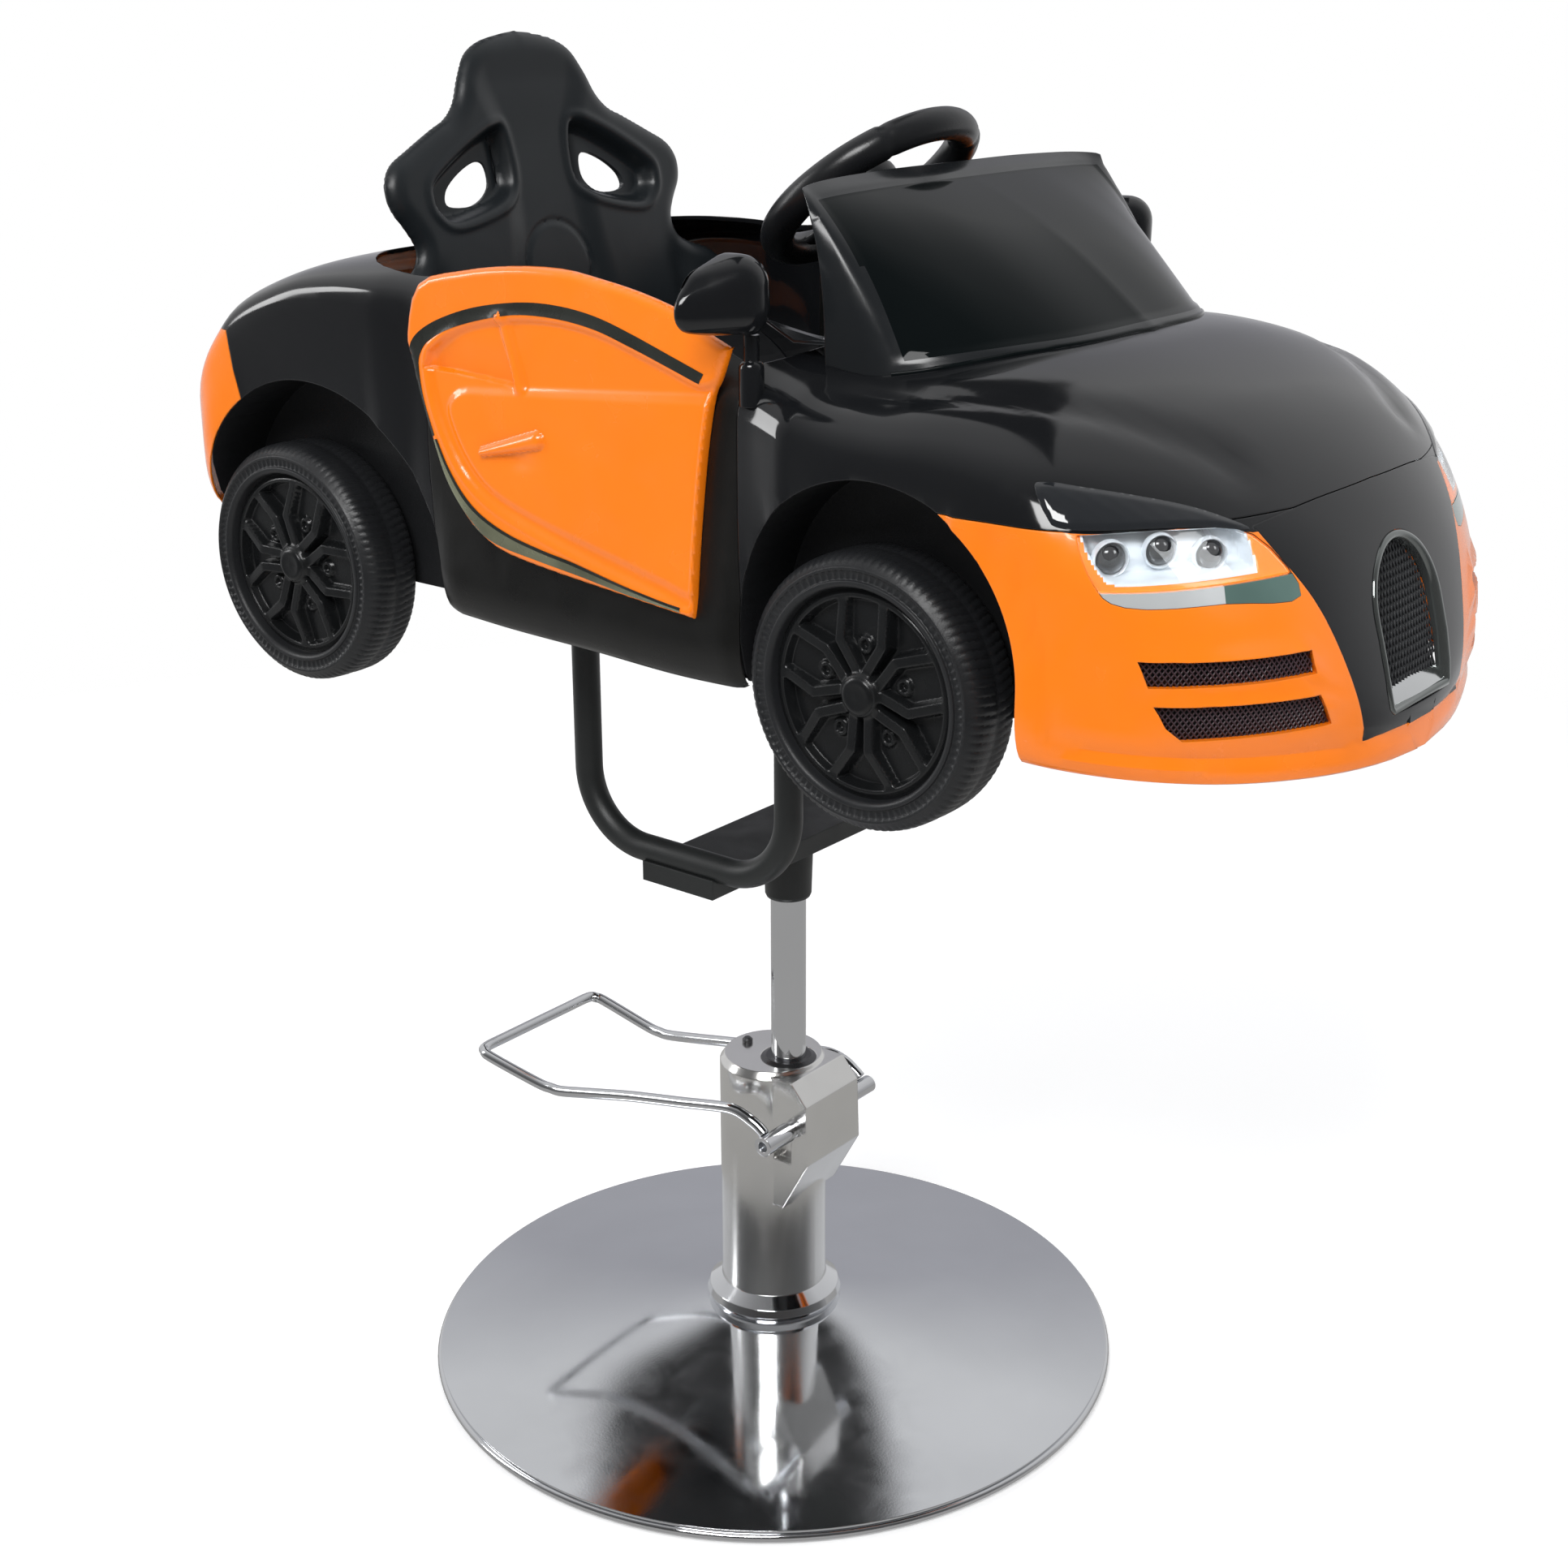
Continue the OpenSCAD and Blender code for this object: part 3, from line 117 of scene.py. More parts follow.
for name, place, size, watts in (("lamp_key", (0.9, -2.3, 2.9), (1.5, 1.1), 66),
        ("lamp_side", (2.9, 0.3, 2.2), (1.0, 1.4), 26), ("lamp_back", (-1.6, 2.1, 2.6), (1.6, 0.8), 34),
        ("lamp_left", (-2.4, -1.5, 1.7), (0.5, 1.5), 16)):
    lamp = placed(name, bpy.data.lights.new(name, "AREA"))
    lamp.data.shape, lamp.data.size, lamp.data.size_y, lamp.data.energy = "RECTANGLE", *size, watts
    lamp.location = place
    lamp.rotation_euler = (Vector((0, 0, 0.75)) - lamp.location).to_track_quat("-Z", "Y").to_euler()
    lamp.visible_glossy = name in ("lamp_key", "lamp_left")

# Floor. A plain pale disc that fades out into the white room and keeps the chair's shadow.
floor_wide, floor_steps = 3.4, 96
floor_mesh = bpy.data.meshes.new("floor")
floor_rim = [2 * pi * i / floor_steps for i in range(floor_steps)]
floor_mesh.from_pydata([(floor_wide * cos(a), floor_wide * sin(a), -0.0004) for a in floor_rim], [],
    [list(range(floor_steps))])
floor = placed("floor", floor_mesh)
pale = bpy.data.materials.new("pale_floor")
pale.use_nodes = True
wires = pale.node_tree
shade = wires.nodes["Principled BSDF"]
feed(wires, shade, {"Base Color": (0.93, 0.93, 0.935, 1), "Roughness": 0.9, "Specular IOR Level": 0.1})
glow = node(wires, "Emission", {0: (1, 1, 1, 1), 1: 0.2})
both = node(wires, "AddShader", {0: shade, 1: glow})
dim = node(wires, "Emission", {0: (1, 0.99, 0.97, 1), 1: 0.4})
glossy = node(wires, "LightPath", {}).outputs["Is Glossy Ray"]
seen = node(wires, "MixShader", {0: glossy, 1: both, 2: dim})
far = node(wires, "VectorMath", {0: node(wires, "TexCoord", {}).outputs["Object"]}, operation="LENGTH")
fade = node(wires, "MapRange", {"Value": far.outputs["Value"], "From Min": 1.1, "From Max": 2.3})
edge = node(wires, "MixShader", {0: fade, 1: seen, 2: node(wires, "BsdfTransparent", {})})
feed(wires, wires.nodes["Material Output"], {0: edge})
floor_mesh.materials.append(pale)

# Lift base. A round steel plate under a spun and chromed skin, with a chromed collar where the
# pump column stands in it. Chrome here has faint turning marks, smears and softened edges.
worn = bpy.data.node_groups.new("worn_finish", "ShaderNodeTree")
grey = (0.5, 0.5, 0.5, 1)
for name, kind, value in (("Tone", "Color", grey), ("Mottle", "Float", 0.05), ("Wear Tone", "Color", grey),
        ("Edge Wear", "Float", 0.3), ("Gloss", "Float", 0.2), ("Smear", "Float", 0.05), ("Grain Size", "Float", 600),
        ("Grain Height", "Float", 0.1), ("Edge Radius", "Float", 0.001), ("Stretch", "Vector", (1, 1, 1))):
    worn.interface.new_socket(name, in_out="INPUT", socket_type="NodeSocket" + kind).default_value = value
for name, kind in (("Tone", "Color"), ("Roughness", "Float"), ("Normal", "Vector")):
    worn.interface.new_socket(name, in_out="OUTPUT", socket_type="NodeSocket" + kind)


def spread(value, low, high, to_low=-1.0):
    """Maps a value between two limits to a range that ends at one."""
    return node(worn, "MapRange", {"Value": value, "From Min": low, "From Max": high, "To Min": to_low,
        "To Max": 1.0})


given = worn.nodes.new("NodeGroupInput").outputs
spot = node(worn, "TexCoord", {}).outputs["Object"]
drawn = node(worn, "VectorMath", {0: spot, 1: given["Stretch"]}, operation="MULTIPLY")
broad = node(worn, "TexNoise", {"Vector": spot, "Scale": 7, "Detail": 4})
smear = node(worn, "TexNoise", {"Vector": drawn, "Scale": 26, "Detail": 6, "Distortion": 0.6})
grain = node(worn, "TexNoise", {"Vector": drawn, "Scale": given["Grain Size"], "Detail": 3})
rounded = node(worn, "Bevel", {"Radius": given["Edge Radius"]}, samples=6)
facing = node(worn, "NewGeometry", {}).outputs["Normal"]
bend = node(worn, "VectorMath", {0: rounded, 1: facing}, operation="DOT_PRODUCT").outputs["Value"]
patchy = node(worn, "Math", {0: spread(bend, 0.99, 0.75, 0.0), 1: smear}, operation="MULTIPLY")
amount = node(worn, "Math", {0: patchy, 1: given["Edge Wear"]}, operation="MULTIPLY")
shift = node(worn, "Math", {0: spread(broad, 0.3, 0.7), 1: given["Mottle"], 2: 1}, operation="MULTIPLY_ADD")
cloudy = node(worn, "VectorMath", {0: given["Tone"], "Scale": shift}, operation="SCALE")
tinted = node(worn, "Mix", {"Factor": amount, 6: cloudy, 7: given["Wear Tone"]}, data_type="RGBA")
uneven = node(worn, "Math", {0: spread(smear, 0.35, 0.7), 1: given["Smear"], 2: given["Gloss"]},
    operation="MULTIPLY_ADD")
raised = node(worn, "Bump", {"Distance": 0.0004, "Strength": given["Grain Height"], "Height": grain,
    "Normal": rounded})
feed(worn, worn.nodes.new("NodeGroupOutput"), {"Tone": tinted.outputs[2], "Roughness": uneven, "Normal": raised})


def tone(red, green, blue):
    """A colour given in 0 to 255, as the shader wants it."""
    return tuple((c / 255 / 12.92 if c < 10.3 else ((c / 255 + 0.055) / 1.055) ** 2.4)
        for c in (red, green, blue)) + (1,)


def finish(name, colour, gloss, texture, wear_tone=None, metal=0.0, stretch=(1, 1, 1), **more):
    """A material whose colour, roughness and normal come from the worn finish group. texture gives
    its smears, mottle, grain size, grain height, edge radius and edge wear."""
    made = bpy.data.materials.new(name)
    made.use_nodes = True
    tree = made.node_tree
    wear_tone = wear_tone or tuple(min(1, c * 1.5 + 0.01) for c in colour[:3]) + (1,)
    texture = dict(zip(("Smear", "Mottle", "Grain Size", "Grain Height", "Edge Radius", "Edge Wear"), texture))
    group = node(tree, "Group", {"Tone": colour, "Wear Tone": wear_tone, "Gloss": gloss, "Stretch": stretch,
        **texture}, node_tree=worn).outputs
    more = {key.replace("_", " "): value for key, value in more.items()}
    feed(tree, tree.nodes["Principled BSDF"], {"Base Color": group["Tone"], "Roughness": group["Roughness"],
        "Normal": group["Normal"], "Metallic": metal, **more})
    return made


def dress(material, *names):
    """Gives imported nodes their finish."""
    for n in names:
        part[n].data.materials.clear()
        part[n].data.materials.append(material)


def solid(name, verts, faces):
    mesh = bpy.data.meshes.new(name)
    mesh.from_pydata([tuple(v) for v in verts], [], faces)
    return placed(name, mesh)


def piece(name, verts, faces, material, slot, *stands_for, body="carrier", sharp=32):
    """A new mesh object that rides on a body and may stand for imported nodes."""
    return settle(solid(name, verts, faces), material, slot, *stands_for, body=body, sharp=sharp)


def settle(made, material, slot, *stands_for, body="carrier", sharp=32):
    """Gives a finished object its shading, finish and body, and hides the nodes that it stands for. slot is not used.
    """
    made.data.materials.clear()
    for m in material if isinstance(material, list) else [material]:
        made.data.materials.append(m)
    for p in made.data.polygons:
        p.use_smooth = True
    made.data.set_sharp_from_angle(angle=radians(sharp))
    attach(made, body)
    if stands_for:
        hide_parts(*stands_for)
    return made


def quads(rows, cols, ring=True, closed=False, back=False):
    """Faces of a grid of points. ring closes every row, and closed joins the last row to the first."""
    faces = []
    for i in range(rows if closed else rows - 1):
        for j in range(cols if ring else cols - 1):
            a, b = i * cols + j, i * cols + (j + 1) % cols
            c, d = (b + cols) % (rows * cols), (a + cols) % (rows * cols)
            faces.append((a, d, c, b) if back else (a, b, c, d))
    return faces


def turned(line, at, around=48):
    """Verts and faces turned from a line of radius and height; at gives the point for it."""
    turns = [2 * pi * j / around for j in range(around)]
    return [at(r * cos(a), r * sin(a), h) for r, h in line for a in turns], quads(len(line), around)


chrome = finish("chrome", (0.72, 0.73, 0.75, 1), 0.1, (0.035, 0.03, 90, 0.04, 0.0012, 0.5), (0.9, 0.9, 0.9, 1),
    metal=1.0)
spun = finish("spun_chrome", (0.72, 0.735, 0.76, 1), 0.09, (0.03, 0.04, 500, 0.02, 0.001, 0.4),
    (0.85, 0.85, 0.85, 1), metal=1.0)
steel = finish("bare_steel", (0.33, 0.33, 0.34, 1), 0.38, (0.08, 0.15, 300, 0.3, 0.001, 0.3), metal=1.0)
base_x = -0.017
skirt = [(0.2966, 0.0084), (0.2966, 0.0109), (0.06, 0.0449), (0.059, 0.045), (0.0463, 0.045)]
piece("base_skin", *turned(skirt, lambda a, b, c: (base_x + a, b, c), 256), spun, "chrome", "base_cover", body="base")
dress(chrome, "base_edge_ring", "base_collar")
dress(steel, "base_plate", "base_bolts")

# Pump column. A chromed steel tube with a squared valve housing on its front, a window for the
# pedal linkage, a pressed bushing round the rod and a small filler screw in the top.
column_chrome = finish("column_chrome", (0.82, 0.815, 0.8, 1), 0.2, (0.06, 0.08, 260, 0.1, 0.002, 0.4),
    (0.85, 0.85, 0.85, 1), metal=1.0, stretch=(1, 1, 0.12))
dark_steel = finish("dark_steel", (0.1, 0.1, 0.105, 1), 0.35, (0.08, 0.2, 400, 0.3, 0.001, 0.3), metal=0.9)
dress(column_chrome, "pump_housing")
dress(chrome, "piston_rod", "pedal_shaft")
dress(dark_steel, "rod_bushing", "filler_screw")
dress(steel, "piston_head")

# Foot loop. One chromed round bar bent by hand into a loop: two arms leave the ends of the shaft,
# dip over a kink and run into a narrower crosspiece that the foot presses.
def smooth(points, per, closed=False):
    """Points of a curve that runs through the given ones."""
    n, line = len(points), []
    for i in range(n if closed else n - 1):
        a, b, c, d = (Vector(points[j % n] if closed else points[max(0, min(n - 1, j))])
            for j in (i - 1, i, i + 1, i + 2))
        for k in range(per):
            t = k / per
            line.append((b * 2 + (c - a) * t + (a * 2 - b * 5 + c * 4 - d) * t * t
                + (b * 3 - a - c * 3 + d) * t ** 3) / 2)
    return line if closed else line + [Vector(points[-1])]


def tube(path, radius, around=16):
    """Verts and faces of a round bar along a path."""
    verts, m = [], len(path)
    side = (path[1] - path[0]).cross(Vector((0, 0, 1))).normalized()
    for i, p in enumerate(path):
        along = (path[min(i + 1, m - 1)] - path[max(i - 1, 0)]).normalized()
        side = (side - along * side.dot(along)).normalized()
        other = along.cross(side)
        verts += [p + (side * cos(2 * pi * j / around) + other * sin(2 * pi * j / around)) * radius
            for j in range(around)]
    ends = [tuple(range(around))[::-1], tuple(range((m - 1) * around, m * around))]
    return verts, quads(m, around) + ends


pivot_x, pivot_z, loop_long, loop_half = 0.031, 0.236, 0.331, 0.0742
loop_share = [(0.012, 0.9, 0.024), (0.032, 0.9, 0.038), (0.06, 0.91, 0.052), (0.1, 0.91, 0.062),
    (0.15, 0.91, 0.058), (0.283, 0.91, 0.028), (0.458, 0.92, -0.009), (0.6, 0.95, -0.042),
    (0.7, 0.98, -0.0645), (0.738, 0.987, -0.067), (0.79, 1.00, -0.064), (0.955, 1.03, -0.036),
    (0.985, 1.00, -0.03), (1, 0.92, -0.027), (1, 0.5, -0.026)]
arm = [Vector((pivot_x - a * loop_long, -b * loop_half, pivot_z + c * loop_long)) for a, b, c in loop_share]
loop = arm + [Vector((p.x, -p.y, p.z)) for p in reversed(arm)]
piece("foot_loop", *tube(smooth(loop, 5), 0.0048), chrome, "chrome", "pedal_loop", body="pedal")

# Support frame. Two powder coated tubes bent into a U stand on a flat cross bar over the rod
# socket, and straps bolt them to the car floor. The black coat is a little rough and dusty.
powder = finish("powder_coat", tone(31, 33, 33), 0.42, (0.06, 0.18, 1300, 0.35, 0.0015, 0.25), tone(96, 96, 96))
dress(powder, "rod_socket", "cross_bar", "frame_tube_right", "frame_tube_left", "frame_straps")
dress(dark_steel, "frame_bolts")

# Car floor, axles and wheel tubs. The floor is a ribbed plastic tray; the axles are chromed bars
# with a washer and a nut at each end, and a plastic tub closes the body over each wheel.
tray = finish("moulded_tray", tone(27, 28, 30), 0.5, (0.05, 0.15, 900, 0.4, 0.001, 0.2))
dress(tray, "floor_pan", "well_front_right", "well_front_left", "well_rear_right", "well_rear_left", "dashboard")
dress(chrome, "front_axle", "rear_axle", "hub_nuts")

# Wheels. Blow moulded black tyres with a finely cut tread, raised rings and small ticks on the
# sidewall, and a pressed-in cover with five forked spokes, lug holes and a plain closed hub.
import numpy as np

tyre_black = finish("tyre_plastic", tone(30, 31, 33), 0.44, (0.08, 0.2, 700, 0.35, 0.0012, 0.5), tone(84, 84, 84))
cover_gloss = finish("cover_plastic", tone(21, 22, 23), 0.24, (0.07, 0.15, 260, 0.15, 0.0016, 0.4),
    tone(90, 90, 92))
wheel_y, wheel_z, tyre_mid, rear_turn = 0.238, 0.7117, 0.0275, 0.3


def ease(a, b, x):
    t = np.clip((x - a) / (b - a), 0, 1)
    return t * t * (3 - 2 * t)


def nearest(px, pz, outline, closed=True):
    """Signed distance of points from an outline, positive inside a closed one."""
    q = np.array([tuple(p)[:2] for p in outline])
    a, b = (q, np.roll(q, -1, 0)) if closed else (q[:-1], q[1:])
    best, inside = np.full(px.shape, 9.0), np.zeros(px.shape, bool)
    for (ax, az), (bx, bz) in zip(a, b):
        dx, dz = bx - ax, bz - az
        t = np.clip(((px - ax) * dx + (pz - az) * dz) / (dx * dx + dz * dz + 1e-12), 0, 1)
        best = np.minimum(best, np.hypot(px - ax - t * dx, pz - az - t * dz))
        if closed:
            crosses = (az > pz) != (bz > pz)
            inside ^= crosses & (px < dx * (pz - az) / (dz if dz else 1e-12) + ax)
    return np.where(inside, best, -best) if closed else best


# Tyre section from the outer face inwards as depth, radius and the kind of ribs it carries
tyre_line = [(0.021, 0.016, 0), (0.0165, 0.05, 0), (0.0165, 0.0715, 0), (0.0125, 0.0728, 0),
    (0.004, 0.0732, 0), (0.0012, 0.0742, 0), (0.0002, 0.0762, 0), (0.0004, 0.078, 0), (0.0022, 0.0788, 0),
    (0.0026, 0.08, 2), (0.0024, 0.0826, 2), (0.002, 0.0846, 2), (0.0006, 0.0854, 0), (0.0006, 0.0872, 0),
    (0.0022, 0.0886, 0), (0.0036, 0.0906, 0), (0.006, 0.0932, 1), (0.0088, 0.0948, 1), (0.012, 0.0955, 1),
    (0.018, 0.0958, 1), (0.0235, 0.0959, 1), (0.0262, 0.0948, 0), (0.0288, 0.0948, 0), (0.0315, 0.0959, 1),
    (0.037, 0.0958, 1), (0.043, 0.0955, 1), (0.0462, 0.0948, 1), (0.049, 0.0932, 1), (0.0514, 0.0906, 0),
    (0.0535, 0.087, 0), (0.055, 0.082, 0), (0.055, 0.075, 0), (0.054, 0.0735, 0), (0.0329, 0.0735, 0),
    (0.0329, 0.016, 0)]
tyre_steps, cuts, around = 576, 96, 360
face_r = np.concatenate((np.linspace(0.0012, 0.0142, 8), np.linspace(0.0152, 0.066, 42),
    [0.0668, 0.068, 0.0692, 0.0704, 0.0716, 0.0728, 0.0735]))
for corner, wx, out_y in (("fr", 0.2455, -1), ("fl", 0.2455, 1), ("rr", -0.319, -1), ("rl", -0.319, 1)):
    verts = []
    for a in (2 * pi * i / tyre_steps for i in range(tyre_steps)):
        for depth, r, rib in tyre_line:
            if rib == 1:
                r -= 0.0012 * max(0, cos(a * cuts + abs(depth - tyre_mid) * 170)) ** 2
            push = 0.0008 * max(0, cos(a * cuts + 2 * sin(a * 5))) if rib == 2 else 0
            verts.append((wx + r * sin(a), out_y * (wheel_y - depth + push), wheel_z + r * cos(a)))
    faces = quads(tyre_steps, len(tyre_line), ring=False, closed=True)
    piece("wheel_tyre_" + corner, verts, faces if out_y < 0 else [f[::-1] for f in faces], tyre_black,
        "wheel_black", "tyre_" + corner, body="wheel_" + corner, sharp=45)

    # The cover's face as a depth for each radius and angle, folded about the middle of a fork
    rr, aa = np.meshgrid(face_r, 2 * pi * np.arange(around) / around, indexing="ij")
    fold = np.abs((aa - (rear_turn if wx < 0 else 0)) % (2 * pi / 5) - pi / 5)
    u, w = rr * np.sin(fold), rr * np.cos(fold)
    fork = [(0.015, 0.0062), (0.039, 0.0072), (0.067, 0.0285)]
    spoke = 1 - ease(0.0033, 0.0056, nearest(w, u, fork, closed=False))
    lug = np.hypot(rr * np.sin(pi / 5 - fold), rr * np.cos(pi / 5 - fold) - 0.0335)
    low = np.where(u < np.interp(w, *zip(*fork)), 0.0158, 0.0128)
    low += 0.0036 * (1 - ease(0.0024, 0.0034, lug)) - 0.003 * (1 - ease(0.0056, 0.0072, lug))
    face = low + (np.interp(rr, (0.016, 0.04, 0.066), (0.006, 0.0046, 0.007)) - low) * spoke
    face += (np.interp(rr, face_r[-7:], (0.0066, 0.0064, 0.007, 0.0086, 0.0094, 0.0094, 0.011)) - face) * ease(
        0.0636, 0.0662, rr)
    face += (np.interp(rr, (0, 0.011, 0.0135, 0.015), (0.0003, 0.0006, 0.0018, 0.005)) - face) * (1 - ease(
        0.015, 0.0172, rr))
    rows = list(zip(face_r, face)) + [(r, [d] * around) for r, d in ((0.0735, 0.0162), (0.015, 0.0162),
        (0.0132, 0.0024), (0.01, 0.0011), (0.0012, 0.0009))]
    verts = [(wx + r * sin(a), out_y * (wheel_y - d), wheel_z + r * cos(a)) for r, row in rows
        for a, d in zip(aa[0], row)]
    verts += [(wx, out_y * (wheel_y - 0.0003), wheel_z), (wx, out_y * (wheel_y - 0.0009), wheel_z)]
    n, last = len(verts) - 2, (len(rows) - 1) * around
    faces = quads(len(rows), around, back=True)
    faces += [(n, j, (j + 1) % around) for j in range(around)]
    faces += [(n + 1, last + (j + 1) % around, last + j) for j in range(around)]
    piece("wheel_cover_" + corner, verts, [f if out_y > 0 else f[::-1] for f in faces], cover_gloss,
        "cover_black", "cover_" + corner, body="wheel_" + corner, sharp=40)

# Car body. Thin moulded panels over one flowing shape: hood and front fenders, two sides, the
# rear, two orange bumpers and the nose. Each is cut from the same skin along its seam.
body_share = [(-0.465, 0.336, 0.416, 0.156, 3), (-0.45, 0.416, 0.544, 0.168, 3),
    (-0.43, 0.476, 0.688, 0.184, 3), (-0.41, 0.568, 0.788, 0.208, 3.2), (-0.39, 0.664, 0.852, 0.208, 3.5),
    (-0.365, 0.756, 0.924, 0.176, 4), (-0.324, 0.836, 0.992, 0.096, 4), (-0.285, 0.876, 1.032, 0.032, 4),
    (-0.22, 0.876, 1.064, 0.032, 4), (-0.16, 0.836, 1.08, 0.032, 4), (-0.08, 0.836, 1.104, 0.016, 4),
    (0, 0.828, 1.096, 0.008, 4), (0.08, 0.784, 1.048, -0.004, 3.4), (0.14, 0.72, 0.976, 0, 3),
    (0.2, 0.68, 0.936, 0.008, 2.6), (0.24, 0.656, 0.936, 0.004, 2.5), (0.291, 0.628, 0.948, 0, 2.5),
    (0.335, 0.596, 0.94, 0, 2.4), (0.371, 0.552, 0.912, 0, 2.4), (0.4, 0.504, 0.876, -0.004, 2.3),
    (0.43, 0.424, 0.824, -0.012, 2.2), (0.46, 0.34, 0.74, -0.024, 2.1), (0.49, 0.244, 0.612, -0.04, 2),
    (0.51, 0.168, 0.472, -0.052, 2), (0.525, 0.112, 0.296, -0.064, 2), (0.534, 0.064, 0.168, -0.072, 2),
    (0.54, 0.036, 0.048, -0.076, 2)]
width_share = [(-0.38, 0.968), (-0.2, 0.964), (-0.165, 0.952), (0.146, 0.952), (0.16, 0.962),
    (0.19, 0.996), (0.24, 1), (0.378, 1)]
station_share = [-0.465, -0.45, -0.43, -0.41, -0.39, -0.365, -0.324, -0.285, -0.22, -0.16, -0.12, 0,
    0.08, 0.12, 0.146, 0.19, 0.24, 0.291, 0.335, 0.371, 0.4, 0.43, 0.46, 0.478, 0.494, 0.507, 0.518,
    0.527, 0.534, 0.54]
sill_z, body_high, half_wide, wall = 0.696, 0.25, 0.25, 0.003
nose_from, nose_long, tail_from, tail_long = 0.378, 0.1625, -0.38, 0.084
front_arch, rear_arch = (0.262, 0.743, 0.117), (-0.284, 0.722, 0.141)


def curve_at(x, table, col):
    """Smooth curve through one column of a table, as the part's source draws it."""
    n = len(table)
    i = max(0, min(n - 2, sum(1 for row in table[1:-1] if x >= row[0])))

    def slope(k):
        a, b = table[max(k - 1, 0)], table[min(k + 1, n - 1)]
        return (b[col] - a[col]) / (b[0] - a[0])
    h = table[i + 1][0] - table[i][0]
    u = (x - table[i][0]) / h
    return ((2 * u ** 3 - 3 * u * u + 1) * table[i][col] + (u ** 3 - 2 * u * u + u) * slope(i) * h
        + (3 * u * u - 2 * u ** 3) * table[i + 1][col] + (u ** 3 - u * u) * slope(i + 1) * h)


def width_at(s):
    if s > nose_from:
        return half_wide * sqrt(max(0, 1 - ((s - nose_from) / nose_long) ** 2))
    if s < tail_from:
        return half_wide * width_share[0][1] * max(0, 1 - ((tail_from - s) / tail_long) ** 3) ** (1 / 3)
    i = max(0, min(len(width_share) - 2, sum(1 for row in width_share[1:-1] if s >= row[0])))
    (a, p), (b, q) = width_share[i], width_share[i + 1]
    return half_wide * (p + (q - p) * (s - a) / (b - a))


def section(s, inward):
    """Half section of the body at a place along it, from the lower edge up to the crown."""
    tuck_steps, side_steps, top_steps = 6, 5, 26
    w = max(width_at(s) - inward, 0.0003)
    low = sill_z + body_high * curve_at(s, body_share, 3)
    shoulder = sill_z + body_high * curve_at(s, body_share, 1) - inward
    crown = sill_z + body_high * curve_at(s, body_share, 2) - inward
    full = curve_at(s, body_share, 4)
    tuck, tuck_high = 0.056 * half_wide, min(0.14 * body_high, (shoulder - low) * 0.8)
    line = [(max(w - tuck, 0.0002) * (1 if inward > 0 else 0.5), low - (body_high / 4 if inward > 0 else 0))]
    for i in range(tuck_steps + 1):
        a = pi / 2 * i / tuck_steps
        line.append((max(w - tuck + tuck * sin(a) ** 0.9, 0.0002), low + tuck_high * (1 - cos(a)) ** 0.95))
    for i in range(1, side_steps):
        line.append((w, low + tuck_high + (shoulder - low - tuck_high) * i / side_steps))
    for i in range(top_steps + 1):
        a = pi / 2 * i / top_steps
        line.append((w * max(cos(a), 0) ** (2 / full), shoulder + (crown - shoulder) * sin(a) ** (2 / full)))
    return line


def shares(points, wide=1.0):
    """Points whose heights are given as shares of the body's height over its sill."""
    return [(a * wide, sill_z + b * body_high) for a, b in points]


lamp_share = [(0.059, 0.584), (0.068, 0.6), (0.124, 0.6), (0.178, 0.568), (0.209, 0.412), (0.15, 0.424),
    (0.084, 0.432), (0.066, 0.488)]
vent_a_share = [(0.092, 0.3), (0.213, 0.284), (0.2165, 0.224), (0.099, 0.232)]
vent_b_share = [(0.103, 0.184), (0.22, 0.168), (0.231, 0.084), (0.122, 0.092), (0.111, 0.128)]
pod_share = [(0.041, 0.7), (0.044, 0.636), (0.053, 0.612), (0.1, 0.608), (0.14, 0.6), (0.176, 0.58),
    (0.156, 0.618), (0.13, 0.652), (0.096, 0.682), (0.066, 0.702), (0.05, 0.71)]
corner_a, corner_b, corner_deep = cos(radians(52.8)), sin(radians(52.8)), 0.36


